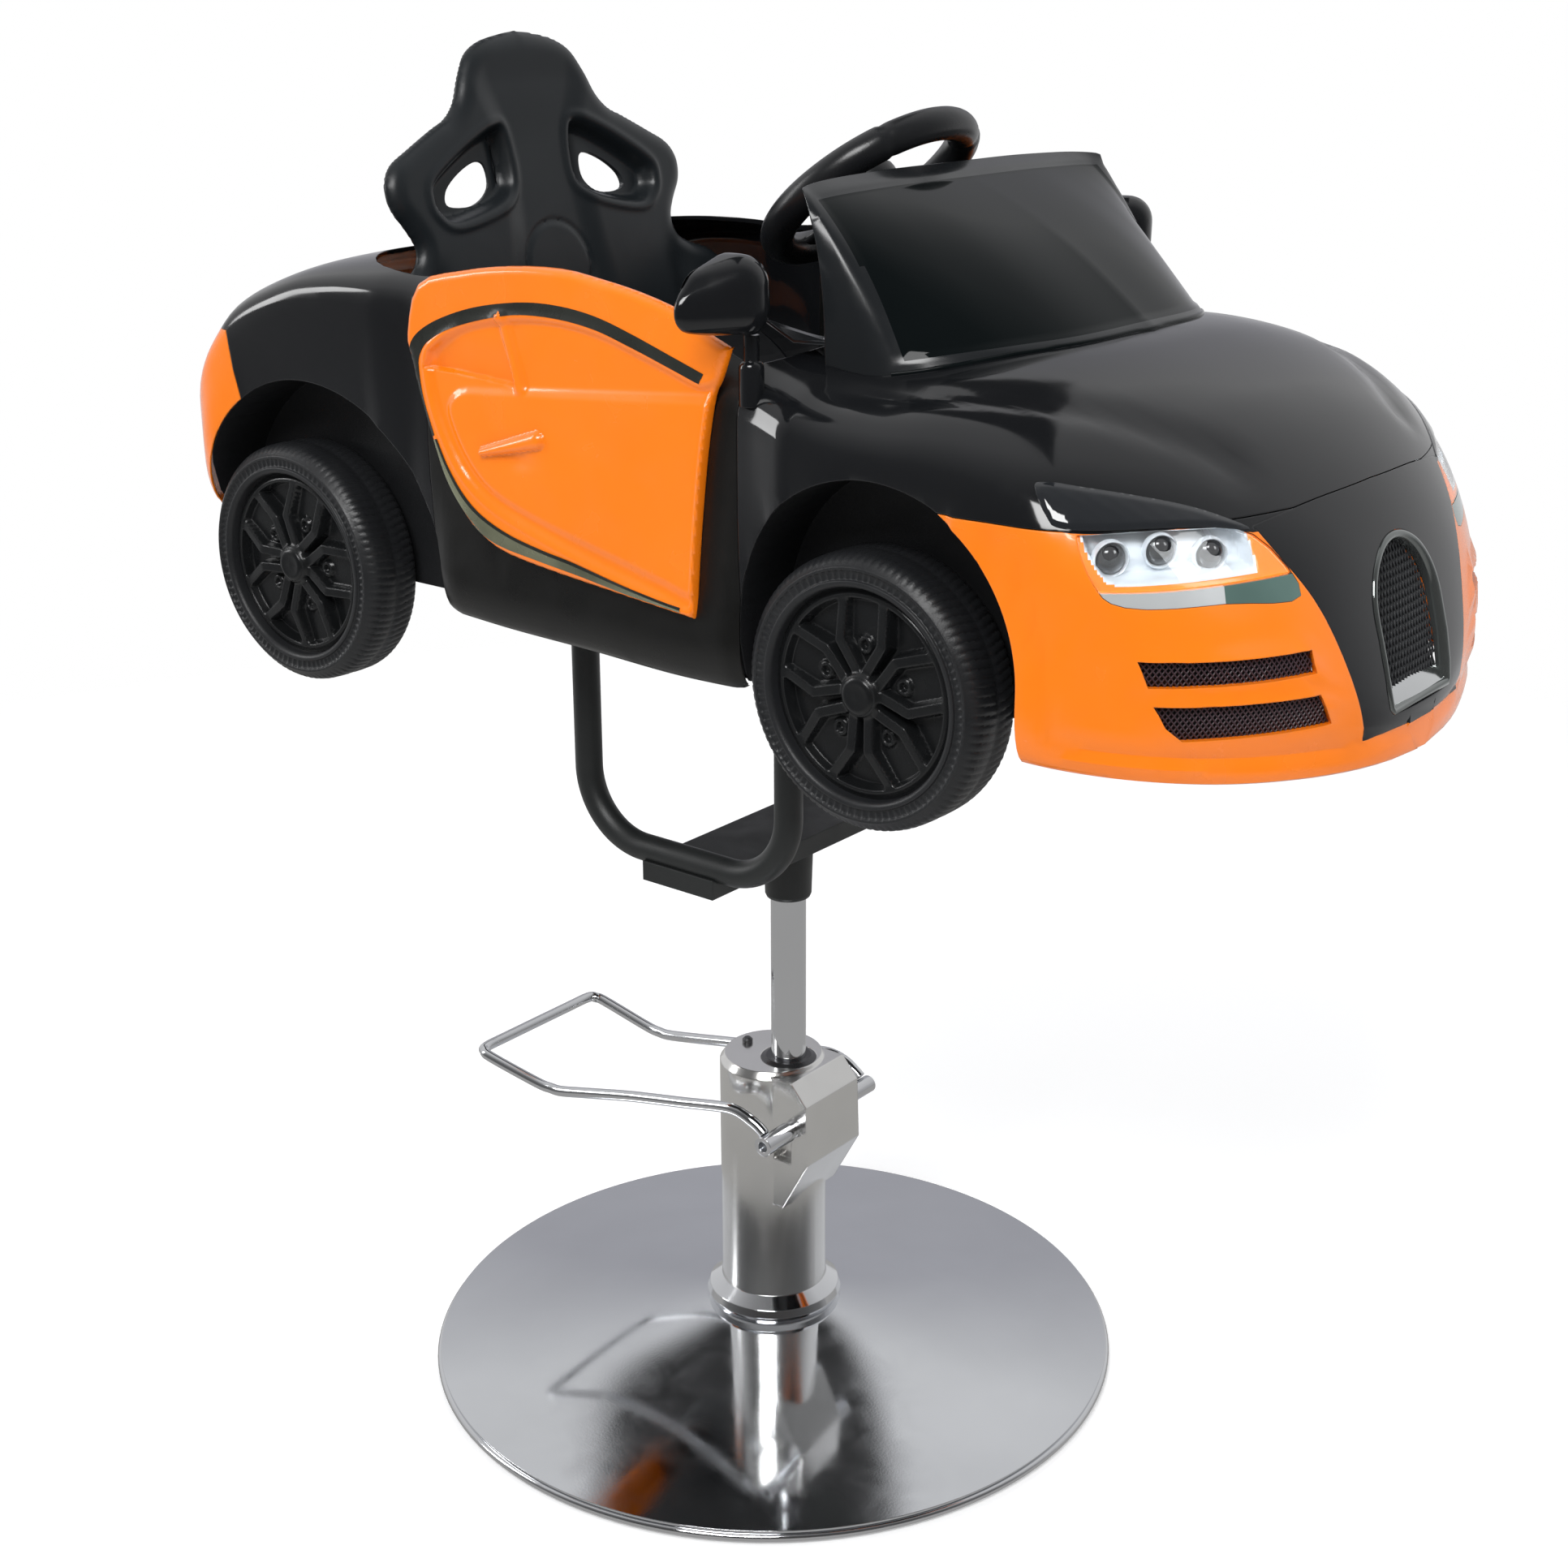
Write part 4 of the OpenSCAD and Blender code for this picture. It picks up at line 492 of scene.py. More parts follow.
def relief(p):
    """How far the skin stands proud of the plain body at each point, in metres."""
    x, y, z = p[:, 0], np.abs(p[:, 1]), p[:, 2]
    rise = np.zeros(len(p))
    flank = ease(0.12, 0.17, y)
    rims = []
    for cx, cz, r in (front_arch, rear_arch):
        rims.append(np.where(z > cz, np.hypot(x - cx, z - cz), np.abs(x - cx)) - r)
    orange = (x > 0.3) & (z < 0.847)
    # Fender edges turn in towards the arch
    for g in rims:
        turned = np.clip(1 - g / 0.013, 0, 1) ** 1.5
        rise -= np.where(orange, 0, 1) * flank * np.where(g > -0.02, 0.0026 * turned, 0)
    # The bumper has a raised flange along the arch and the lower edge, inside a groove
    low = np.array([sill_z + body_high * curve_at(min(body_share[-1][0], max(body_share[0][0], s)), body_share, 3)
        for s in x])
    a, b = np.maximum(rims[0], -0.004), np.maximum(z - low, -0.004)
    blend = 0.006
    away = -blend * np.log(np.exp(-a / blend) + np.exp(-b / blend))
    lip = orange * (x > 0.31)
    rise += lip * (0.0015 * (1 - ease(0.013, 0.0165, away)) - 0.0022 * np.exp(-((away - 0.0185) / 0.0045) ** 2))
    # Lips round the bumper slots, drawn on the plane that faces the nose corner
    u, depth = corner_a * x - corner_b * y, corner_b * x + corner_a * y
    for slot in (vent_a_share, vent_b_share):
        d = -nearest(u, z, shares(slot))
        rise += np.where(depth > corner_deep, 0.0026 * (1 - ease(0.0015, 0.0075, d)), 0)
    # A soft valley parts the hood from the fender
    valley = nearest(x, y, [(0.205, 0.212), (0.245, 0.208), (0.3, 0.196), (0.36, 0.176), (0.41, 0.15),
        (0.45, 0.12)], closed=False)
    rise -= np.where(z > 0.86, 0.0036 * np.exp(-(valley / 0.011) ** 2) * ease(0.19, 0.23, x), 0)
    # The sill below the doors is a little thicker
    rise += np.where((x > -0.147) & (x < 0.143), 0.0026 * (1 - ease(0.738, 0.746, z)), 0)
    return rise


def skin(inward, dressed=False):
    """Closed solid of the body, drawn in by a wall thickness."""
    stations, pitch = [], 0.0065
    for a, b in zip(station_share, station_share[1:]):
        n = max(2, ceil((b - a) / pitch))
        stations += [a + (b - a) * i / n for i in range(n)]
    stations.append(station_share[-1])
    rows = []
    for s in stations:
        half = section(s, inward)
        x = s * (1 - 2 * inward)
        rows.append([(x, -y, z) for y, z in half] + [(x, y, z) for y, z in reversed(half[:-1])])
    grid = np.array(rows)
    if dressed:
        along = np.gradient(grid, axis=0)
        round_ = np.gradient(grid, axis=1)
        normal = np.cross(along, round_)
        normal /= np.linalg.norm(normal, axis=2, keepdims=True) + 1e-12
        flat = grid.reshape(-1, 3)
        outward = normal.reshape(-1, 3)
        centre = np.array((0.0, 0.0, 0.8))
        outward *= np.sign(((flat - centre) * outward).sum(1, keepdims=True))
        grid = (flat + outward * relief(flat)[:, None]).reshape(grid.shape)
    m, n = grid.shape[:2]
    faces = quads(m, n, back=True) + [tuple(range(n)), tuple(range((m - 1) * n, m * n))[::-1]]
    return solid("skin", grid.reshape(-1, 3).tolist(), faces)


def flowing(outline, per, closed=True):
    """A flat outline drawn as a smooth curve."""
    return [(p.x, p.y) for p in smooth([(a, b, 0) for a, b in outline], per, closed)]


def area_of(line):
    """Twice the area of a flat outline, negative if it runs clockwise."""
    return sum(a[0] * b[1] - b[0] * a[1] for a, b in zip(line, line[1:] + line[:1]))


def prism(outline, place, near, far):
    """Closed solid between two copies of a flat outline. place turns (u, v, depth) into a point."""
    n = len(outline)
    line = outline if area_of(outline) > 0 else outline[::-1]
    verts = [place(u, v, near) for u, v in line] + [place(u, v, far) for u, v in line]
    faces = [(i, (i + 1) % n, n + (i + 1) % n, n + i) for i in range(n)]
    faces += [tuple(range(n))[::-1], tuple(range(n, 2 * n))]
    return right_way(solid("tool", verts, faces))


def right_way(made):
    """Turns the faces of a closed solid outwards."""
    volume = 0.0
    for p in made.data.polygons:
        c = [made.data.vertices[v].co for v in p.vertices]
        for i in range(1, len(c) - 1):
            volume += c[0].dot(c[i].cross(c[i + 1]))
    if volume < 0:
        made.data.flip_normals()
    return made


def carve(target, tool, way="DIFFERENCE", keep=False):
    cut = target.modifiers.new("carve", "BOOLEAN")
    cut.object, cut.operation, cut.solver = tool, way, "MANIFOLD"
    graph = bpy.context.evaluated_depsgraph_get()
    done = bpy.data.meshes.new_from_object(target.evaluated_get(graph))
    target.modifiers.clear()
    target.data = done
    if not keep:
        bpy.data.objects.remove(tool)
    return target


def block(lo, hi):
    return prism([(lo[0], lo[1]), (hi[0], lo[1]), (hi[0], hi[1]), (lo[0], hi[1])], from_top, lo[2], hi[2])


def from_side(u, v, d):
    return (u, d, v)


def from_front(u, v, d):
    return (d, u, v)


def from_top(u, v, d):
    return (u, v, d)


def from_corner(side):
    """Plane that faces the nose corner of one side."""
    return lambda u, v, d: (corner_a * u + corner_b * d, side * (corner_a * d - corner_b * u), v)


def panel(source, name, tool):
    """A named copy of what one solid shares with another."""
    return carve(placed(name, source.data.copy()), tool, "INTERSECT")


gloss_black = finish("gloss_black", tone(19, 20, 22), 0.12, (0.05, 0.12, 55, 0.035, 0.0012, 0.3), tone(70, 70, 72),
    Coat_Weight=0.2, Coat_Roughness=0.05)
# The side panels take a satin black a little darker than the hood's black. The satin finish is real roughness; the
# darker tone is painted shade on the sides.
side_black_painted_shade = finish("side_black_painted_shade", tone(14, 14, 13), 0.33, (0.07, 0.15, 420, 0.12, 0.0012, 0.3), tone(74, 73, 72))
orange = finish("orange_plastic", tone(250, 126, 14), 0.24, (0.05, 0.04, 60, 0.04, 0.0016, 0.35),
    tone(255, 176, 84), Coat_Weight=0.7, Coat_Roughness=0.06)
outer = skin(0, dressed=True)
shell = carve(placed("shell", right_way(outer).data.copy()), right_way(skin(wall)))


def nose_line(grow):
    """Outline of the nose panel seen from the front."""
    half = shares([(0.292, 0.004), (0.308, 0.06), (0.38, 0.264), (0.436, 0.392), (0.5, 0.5), (0.53, 0.56)],
        half_wide)
    top = shares([(0.536, 0.574), (0.522, 0.588), (0.28, 0.612), (0, 0.62)], half_wide)
    line = [(a + grow, b) for a, b in flowing(half, 5, False)]
    line += [(a + grow * 0.4, b + grow) for a, b in flowing(top, 5, False)]
    return line + [(-a, b) for a, b in line[::-1][1:]]


seam_z, tail_z, gap = sill_z + 0.604 * body_high, sill_z + 0.79 * body_high, 0.0007
hood_starts, side_ends, side_starts, rear_ends = 0.1462, 0.1456, -0.1496, -0.1502
far_side, under, over, arc_steps = 0.6, 0.3, 1.3, 60


def bumper_room(target, grow, way="DIFFERENCE"):
    room_ = block((0.2971, -far_side, under), (1, far_side, seam_z + grow))
    carve(room_, prism(nose_line(-grow), from_front, 0.2, 1.2))
    return carve(target, room_, way)


def arches(target):
    for cx, cz, r in (front_arch, rear_arch):
        arc = [(cx + r * cos(pi * i / arc_steps), cz + r * sin(pi * i / arc_steps)) for i in range(arc_steps + 1)]
        carve(target, prism(arc + [(cx - r, under), (cx + r, under)], from_side, -0.5, 0.5))
    return target


cockpit_line = flowing([(a, b * half_wide) for a, b in [(-0.28, 0.6), (-0.289, 0.4), (-0.29, 0),
    (-0.289, -0.4), (-0.28, -0.6), (-0.215, -0.852), (-0.1, -0.86), (0.1, -0.86), (0.15, -0.82),
    (0.172, -0.5), (0.176, 0), (0.172, 0.5), (0.15, 0.82), (0.1, 0.86), (-0.1, 0.86), (-0.215, 0.852)]], 5)


def cockpit(target):
    return carve(target, prism(cockpit_line, from_top, 0.5, 1.4))


front = panel(shell, "hood_and_fenders", block((hood_starts, -far_side, under), (1, far_side, over)))
cockpit(arches(bumper_room(front, gap)))
carve(front, prism(nose_line(gap), from_front, 0.3, 1.2))
settle(front, gloss_black, "gloss_black", "front_body")

for name, side in (("side_right", -1), ("side_left", 1)):
    flank = panel(shell, "body_" + name, block((side_starts, min(0, side * far_side), under),
        (side_ends, max(0, side * far_side), over)))
    # Sides in the darker black that paints their shade
    settle(cockpit(arches(flank)), side_black_painted_shade, "gloss_black", name)

tail_line = [(-0.374, 0.996), (-0.37, 0.896), (-0.36, 0.836), (-0.3, 0.696), (-0.3, 0.5), (-0.8, 0.5),
    (-0.8, 0.996)]
rear = panel(shell, "rear_deck", block((-1, -far_side, under), (rear_ends, far_side, over)))
tail_room = carve(prism([(a + gap, b) for a, b in tail_line], from_side, -0.5, 0.5),
    block((-1, -far_side, 0.1), (0.4, far_side, tail_z + gap)), "INTERSECT")
cockpit(arches(carve(rear, tail_room)))
settle(rear, gloss_black, "gloss_black", "rear_body")
tail = panel(shell, "tail_bumper", prism(tail_line, from_side, -0.5, 0.5))
carve(tail, block((-1, -far_side, 0.1), (0.4, far_side, tail_z)), "INTERSECT")
settle(arches(tail), orange, "orange", "rear_bumper")

nose = panel(shell, "nose_panel_skin", prism(nose_line(0), from_front, 0.3, 1.2))
mouth_r, mouth_z, mouth_steps = 0.05, sill_z + 0.073, 40
mouth = [(mouth_r * cos(pi * i / mouth_steps), mouth_z + mouth_r * sin(pi * i / mouth_steps))
    for i in range(mouth_steps + 1)]
mouth += [(-0.0497, 0.745), (-0.0485, 0.725), (-0.0462, 0.712), (-0.042, 0.708), (0.042, 0.708), (0.0462, 0.712),
    (0.0485, 0.725), (0.0497, 0.745)]
carve(nose, prism(mouth, from_front, 0.3, 1.2))
settle(nose, gloss_black, "gloss_black", "nose_panel")


def grown(outline, by):
    """An outline moved outwards along its corner normals."""
    n, line = len(outline), []
    sign = 1 if area_of(outline) > 0 else -1
    for i, (u, v) in enumerate(outline):
        (ax, ay), (bx, by_) = outline[i - 1], outline[(i + 1) % n]
        d = hypot(bx - ax, by_ - ay) or 1
        line.append((u + sign * by * (by_ - ay) / d, v - sign * by * (bx - ax) / d))
    return line


lamp_line = flowing(shares(lamp_share), 4)
bumper = bumper_room(placed("bumper_skin", shell.data.copy()), 0, "INTERSECT")
arches(bumper)
for side in (-1, 1):
    for outline in (lamp_line, shares(vent_a_share), shares(vent_b_share)):
        carve(bumper, prism(outline, from_corner(side), corner_deep, 1))
    # A black brow closes the bumper above each lamp
    brow_line = [(0.04, 0.87), (0.04, 0.848), (0.056, 0.8466), (0.066, 0.8463), (0.124, 0.8463),
        (0.152, 0.844), (0.178, 0.8388), (0.24, 0.8375), (0.24, 0.87)]
    brow = panel(bumper, "lamp_brow_left" if side > 0 else "lamp_brow_right",
        prism(brow_line, from_corner(side), 0.3, 1))
    settle(brow, gloss_black, "gloss_black")
    carve(bumper, prism(brow_line, from_corner(side), 0.3, 1))
settle(bumper, orange, "orange", "front_bumper")

# Radiator opening. A horseshoe ring of chromed plastic stands in the nose panel, with a woven
# mesh sunk behind it, a black sheet behind the mesh as painted shade, and a bright wedge across its foot.
from mathutils.bvhtree import BVHTree

chrome_trim = finish("chrome_trim", (0.72, 0.735, 0.74, 1), 0.09, (0.04, 0.06, 120, 0.06, 0.0008, 0.4),
    (0.9, 0.9, 0.9, 1), metal=1.0)
ring_tone = finish("smoked_chrome", (0.2, 0.215, 0.21, 1), 0.1, (0.05, 0.1, 160, 0.08, 0.0008, 0.6),
    (0.7, 0.7, 0.7, 1), metal=0.85, Coat_Weight=0.5, Coat_Roughness=0.04)
net_black = finish("net_plastic", tone(44, 45, 47), 0.34, (0.08, 0.2, 900, 0.3, 0.0004, 0.5), tone(92, 92, 94))
# Near-black for sheets set behind nets: painted shade for the dark inside of the body.
painted_shade_black = finish("painted_shade_black", tone(17, 18, 19), 0.45, (0.05, 0.2, 700, 0.25, 0.0005, 0.2))
surface = BVHTree.FromPolygons([v.co for v in outer.data.vertices],
    [tuple(p.vertices) for p in outer.data.polygons])


def onto(spot, toward, sink=0.0):
    """Where a line meets the body skin, moved on by sink, with the skin's outward normal there."""
    where, normal, _, _ = surface.ray_cast(Vector(spot), Vector(toward))
    if where is None:
        return None, None
    if normal.dot(Vector(toward)) > 0:
        normal = -normal
    return where + Vector(toward) * sink, normal


def hoop(path, normals, section_line):
    """Closed bar round a path; its section is given across and out of the surface."""
    verts, m = [], len(path)
    for i, p in enumerate(path):
        along = (path[(i + 1) % m] - path[i - 1]).normalized()
        side = along.cross(normals[i]).normalized()
        out_ = side.cross(along)
        verts += [p + side * a + out_ * b for a, b in section_line]
    return verts, quads(m, len(section_line), closed=True)


def add(verts, faces, more, shape):
    """Adds one set of verts and faces to another."""
    faces += [tuple(q + len(verts) for q in f) for f in shape]
    verts += more


def lattice(inside, place, box, pitch, turn, sink, thick):
    """Bars of a woven net inside an outline; place gives the point for (u, v) at a depth."""
    verts, faces = [], []
    (u0, v0), (u1, v1) = box
    mid, reach = ((u0 + u1) / 2, (v0 + v1) / 2), hypot(u1 - u0, v1 - v0) / 2
    for way in (1, -1):
        d = (sin(turn) * way, cos(turn))
        for k in range(-int(reach / pitch), int(reach / pitch) + 1):
            steps = np.arange(-reach, reach, thick * 3.2)
            us = mid[0] + d[0] * steps + d[1] * k * pitch
            vs = mid[1] + d[1] * steps - d[0] * k * pitch
            keep, run = nearest(us, vs, inside) > 0, []
            for i in range(len(us) + 1):
                if i < len(us) and keep[i]:
                    p = place(us[i], vs[i], sink + way * thick * 0.35)
                    if p is not None:
                        run.append(p)
                    continue
                if len(run) > 2:
                    add(verts, faces, *tube(run, thick, 5))
                run = []
    return verts, faces


def nose_at(u, v, depth):
    return onto((1, u, v), (-1, 0, 0), depth)[0]


ring_line = grown(mouth, -0.0034)
ring_path, ring_out = zip(*(onto((1, u, v), (-1, 0, 0)) for u, v in ring_line))
ring_out = [((ring_out[i - 1] + n + ring_out[(i + 1) % len(ring_out)]) / 3 + Vector((0.5, 0, 0))).normalized()
    for i, n in enumerate(ring_out)]
piece("grille_frame", *hoop(ring_path, ring_out, [(0.0033, -0.0028), (0.0034, 0.0002), (0.0026, 0.0013),
    (0.0012, 0.0017), (-0.0004, 0.0013), (-0.0018, 0.0002), (-0.0026, -0.0022), (-0.0031, -0.0075),
    (-0.0012, -0.0078), (0.0006, -0.0034)]), ring_tone, "chrome_trim", "grille_ring", sharp=50)
net_line = grown(mouth, -0.0055)
verts, faces = lattice(net_line, nose_at, ((-0.05, 0.705), (0.05, 0.82)), 0.0042, radians(24), 0.0088, 0.00075)
piece("grille_net", verts, faces, net_black, "dark_mesh", "grille_mesh")
# A black sheet behind the net paints the shade inside the opening.
back = [nose_at(u, v, 0.0125) for u, v in net_line]
middle = sum(back, Vector()) / len(back)
piece("grille_shade_sheet", back + [middle], [(i, (i + 1) % len(back), len(back)) for i in range(len(back))], painted_shade_black,
    "dark_mesh")
verts, foot_steps = [], 24
for i in range(foot_steps + 1):
    u, aside = -0.0415 + 0.083 * i / foot_steps, abs(2 * i / foot_steps - 1)
    low, high = 0.7118 + 0.0006 * aside, 0.7255 - 0.003 * aside
    verts += [nose_at(u, low, 0.0012), nose_at(u, (low + high) / 2, 0.004), nose_at(u, high, 0.0102),
        nose_at(u, low, 0.011)]
faces = quads(foot_steps + 1, 4) + [(0, 1, 2, 3), tuple(range(len(verts)))[:-5:-1]]
piece("grille_foot", verts, faces, chrome_trim, "chrome_trim", sharp=25)

# Bumper slots. Two slots on each front corner, each backed by a fine woven net in brownish
# black plastic that follows the bumper a little behind it, and by a black sheet of painted shade further back.
net_brown = finish("vent_net", tone(58, 44, 50), 0.42, (0.08, 0.2, 1200, 0.3, 0.0003, 0.5), tone(96, 80, 86))
verts, faces, back_verts, back_faces, back_steps = [], [], [], [], 20
for side in (-1, 1):
    def corner_at(u, v, depth, side=side):
        return onto(from_corner(side)(u, v, 0.9), from_corner(side)(0, 0, -1), depth)[0]
    for outline in (vent_a_share, vent_b_share):
        line = grown(shares(outline), 0.003)
        box = (min(p[0] for p in line), min(p[1] for p in line)), (max(p[0] for p in line), max(p[1] for p in line))
        add(verts, faces, *lattice(line, corner_at, box, 0.003, radians(38), 0.0052, 0.0006))
        # A black sheet behind each net paints the shade inside the bumper.
        (left, low), (right, high) = box
        us = [left + (right - left) * i / back_steps for i in range(back_steps + 1)]
        behind = [corner_at(u, v, 0.0078) for u in us for v in (low, high)]
        add(back_verts, back_faces, behind, quads(back_steps + 1, 2, ring=False))
piece("slot_nets", verts, faces, net_brown, "dark_mesh", "vent_mesh")
piece("slot_shade_sheets", back_verts, back_faces, painted_shade_black, "dark_mesh")

# Headlamps. Each is a silver bowl, painted pale grey for its bright reflection, set in orange, with three
# round lamps, under a clear cover that lies flush in the bumper; a chrome strip, painted pale for its bright
# reflection, runs below it and a smoked panel lies above it.
clear = bpy.data.materials.new("clear_cover")
clear.use_nodes = True
wires = clear.node_tree
fainter = node(wires, "Math", {0: node(wires, "LightPath", {}).outputs["Is Shadow Ray"], 1: -0.92, 2: 1},
    operation="MULTIPLY_ADD")
feed(wires, wires.nodes["Principled BSDF"], {"Base Color": (0.93, 0.95, 0.96, 1), "Roughness": 0.03,
    "Transmission Weight": 1.0, "IOR": 1.35, "Coat Weight": 0.6, "Coat Roughness": 0.02, "Alpha": fainter})
# The lamp bowl is metallised silver. Its pale grey colour with little metal paints in the bright reflection it shows.
bowl_painted_reflection = finish("lamp_bowl_painted_reflection", tone(212, 218, 224), 0.25, (0.06, 0.12, 300, 0.12, 0.0008, 0.6),
    tone(190, 195, 200), metal=0.25)
lamp_dark = finish("lamp_eye", tone(14, 15, 18), 0.06, (0.03, 0.15, 200, 0.04, 0.0006, 0.2), Coat_Weight=1.0,
    Coat_Roughness=0.02)
strip_green = finish("strip_glass", tone(92, 118, 112), 0.08, (0.05, 0.3, 240, 0.15, 0.0006, 0.5),
    tone(220, 228, 226), metal=0.35, Coat_Weight=0.8, Coat_Roughness=0.03)
# The strip below each lamp is chrome. Its pale grey colour, with little metal, is a painted reflection of a bright
# room.
strip_painted_reflection = finish("strip_chrome_painted_reflection", tone(206, 209, 210), 0.12, (0.05, 0.3, 240, 0.15, 0.0006, 0.5),
    tone(236, 238, 238), metal=0.3, Coat_Weight=0.8, Coat_Roughness=0.03)
smoked = finish("smoked_panel", tone(33, 35, 38), 0.07, (0.03, 0.15, 60, 0.03, 0.0008, 0.3), tone(84, 86, 90),
    Coat_Weight=0.8, Coat_Roughness=0.03)
thin = carve(placed("thin", outer.data.copy()), right_way(skin(0.0018)))


def slab(name, front_of, back_of, shape):
    """Closed solid between two grids of points."""
    (rows, cols), n = shape, len(front_of)
    faces = quads(rows, cols, ring=False, back=True)
    faces += [tuple(q + n for q in f[::-1]) for f in faces]
    rim = [(i, 0) for i in range(rows)] + [(rows - 1, j) for j in range(1, cols)]
    rim += [(i, cols - 1) for i in range(rows - 2, -1, -1)] + [(0, j) for j in range(cols - 2, 0, -1)]
    rim = [i * cols + j for i, j in rim]
    faces += [(b, a, a + n, b + n) for a, b in zip(rim, rim[1:] + rim[:1])]
    return right_way(solid(name, list(front_of) + list(back_of), faces))


def grid_of(us, vs):
    """Two arrays with the places of a flat grid; each range is given as start, stop and step."""
    return np.meshgrid(np.arange(*us), np.arange(*vs), indexing="ij")


def cells(*arrays):
    return zip(*(array.ravel() for array in arrays))


strip_z, strip_u = 0.8132, 0.15
strip_end = [(strip_u, 0.7), (0.3, 0.7), (0.3, 0.9), (strip_u, 0.9)]
bowl_line = flowing([(0.0625, 0.842), (0.072, 0.849), (0.125, 0.85), (0.168, 0.843), (0.176, 0.8205),
    (0.172, 0.8168), (0.12, 0.8166), (0.084, 0.8166), (0.072, 0.8215)], 4)
eye_line = [(1.0, 0), (1.0, 0.004), (0.93, 0.005), (0.86, 0.0042), (0.83, 0.002), (0.8, 0.0026), (0.7, 0.0046),
    (0.5, 0.0064), (0.26, 0.0074), (0.0001, 0.0077)]
eye_steps, painted_rim_rows, lens_line = 40, 4, grown(lamp_line, -0.0004)
sides = (("right", -1), ("left", 1))
for name, side in sides:
    place = from_corner(side)
    cover = panel(thin, "lamp_cover_" + name, prism(lens_line, place, corner_deep, 1))
    carve(cover, block((0, -1, 0), (1, 1, strip_z)))
    settle(cover, clear, "clear_lens", *(["lenses"] if side < 0 else []))
    strip = panel(shell, "lamp_strip_" + name, prism(lens_line, place, corner_deep, 1))
    carve(strip, block((0, -1, strip_z - 0.0008), (1, 1, 2)))
    tip = panel(strip, "lamp_strip_tip_" + name, prism(strip_end, place, 0.3, 1))
    carve(strip, prism(strip_end, place, 0.3, 1))
    # Chrome strip in a pale grey that paints in its bright reflection
    settle(strip, strip_painted_reflection, "chrome_trim")
    settle(tip, strip_green, "clear_lens")
    # Inside of the lamp: an orange shelf with the bowl sunk in it; the bowl's pale grey is a painted reflection
    uu, vv = grid_of((0.052, 0.216, 0.0016), (0.795, 0.851, 0.0014))
    sunk = nearest(uu, vv, bowl_line)
    deep = 0.0026 + 0.013 * ease(0, 0.0055, sunk) - 0.004 * ease(0.0075, 0.014, sunk)
    front_of = [onto(place(u, v, 0.9), place(0, 0, -1), d)[0] or Vector(place(u, v, 0.44))
        for u, v, d in cells(uu, vv, deep)]
    inside_of = slab("lamp_inside_" + name, front_of, [p + Vector(place(0, 0, -0.03)) for p in front_of], uu.shape)
    tray_ = carve(inside_of, prism(grown(lamp_line, -0.0006), place, 0.3, 1), "INTERSECT")
    settle(tray_, [orange, bowl_painted_reflection], "lamp_grey", "lamp_" + name, sharp=40)
    centres = np.array([p.center[:] for p in tray_.data.polygons])
    inside = nearest(corner_a * centres[:, 0] - corner_b * side * centres[:, 1], centres[:, 2], bowl_line) > -0.0004
    tray_.data.polygons.foreach_set("material_index", inside.astype(int))
    # Three round lamps with a rim in the bowl's pale grey, a painted reflection, and a dark domed eye
    for k, (u, v, r) in enumerate(((0.08, 0.8305, 0.0118), (0.112, 0.8335, 0.0112), (0.146, 0.8285, 0.0112))):
        foot, _ = onto(place(u, v, 0.9), place(0, 0, -1), 0.0112)
        axis, up = Vector(place(0, 0, 1)), Vector((0, 0, 1))
        flat = axis.cross(up)
        eye_piece = piece("lamp_eye_%s_%d" % (name, k), *turned([(r * s, h) for s, h in eye_line],
            lambda a, b, c: foot + axis * c + flat * a + up * b, eye_steps), [bowl_painted_reflection, lamp_dark], "lamp_grey",
            sharp=40)
        for p in eye_piece.data.polygons:
            p.material_index = int(p.index >= painted_rim_rows * eye_steps)
    # Smoked panel above the lamp, a little proud of the fender
    pod = flowing(shares(pod_share), 4)
    uu, vv = grid_of((0.036, 0.184, 0.002), (0.838, 0.877, 0.001))
    proud = -0.0004 - 0.0011 * ease(0, 0.003, nearest(uu, vv, pod))
    hits = [onto(place(u, v, 0.9), place(0, 0, -1)) for u, v in cells(uu, vv)]
    front_of = [spot - out_ * d for (spot, out_), d in zip(hits, proud.ravel())]
    inside_of = slab("smoked_panel_" + name, front_of, [p + Vector(place(0, 0, -0.004)) for p in front_of], uu.shape)
    settle(carve(inside_of, prism(pod, place, 0.3, 1), "INTERSECT"), smoked, "gloss_black")
bpy.data.objects.remove(thin)

# Doors. Orange moulded plates on the sides of the car, with a sunk inner panel, a wedge shaped
# scoop, an upright ridge, a crease and a grip; black and grey foil stripes follow the edge.
door_y = 0.2383
door_share = [(-0.159, 0.868), (-0.145, 1.012), (-0.103, 1.06), (-0.055, 1.088), (-0.008, 1.096), (0.029, 1.08),
    (0.066, 1.056), (0.101, 1.02), (0.122, 0.976), (0.143, 0.942), (0.144, 0.938), (0.136, 0.856), (0.13, 0.812),
    (0.124, 0.7), (0.119, 0.564), (0.114, 0.384), (0.11, 0.202), (0.108, 0.193), (0.102, 0.192), (0.036, 0.216),
    (-0.035, 0.244), (-0.075, 0.272), (-0.099, 0.324), (-0.115, 0.388), (-0.127, 0.456), (-0.137, 0.556),
    (-0.148, 0.684), (-0.156, 0.8)]


def milli(*points):
    return [(a / 1000, b / 1000) for a, b in points]


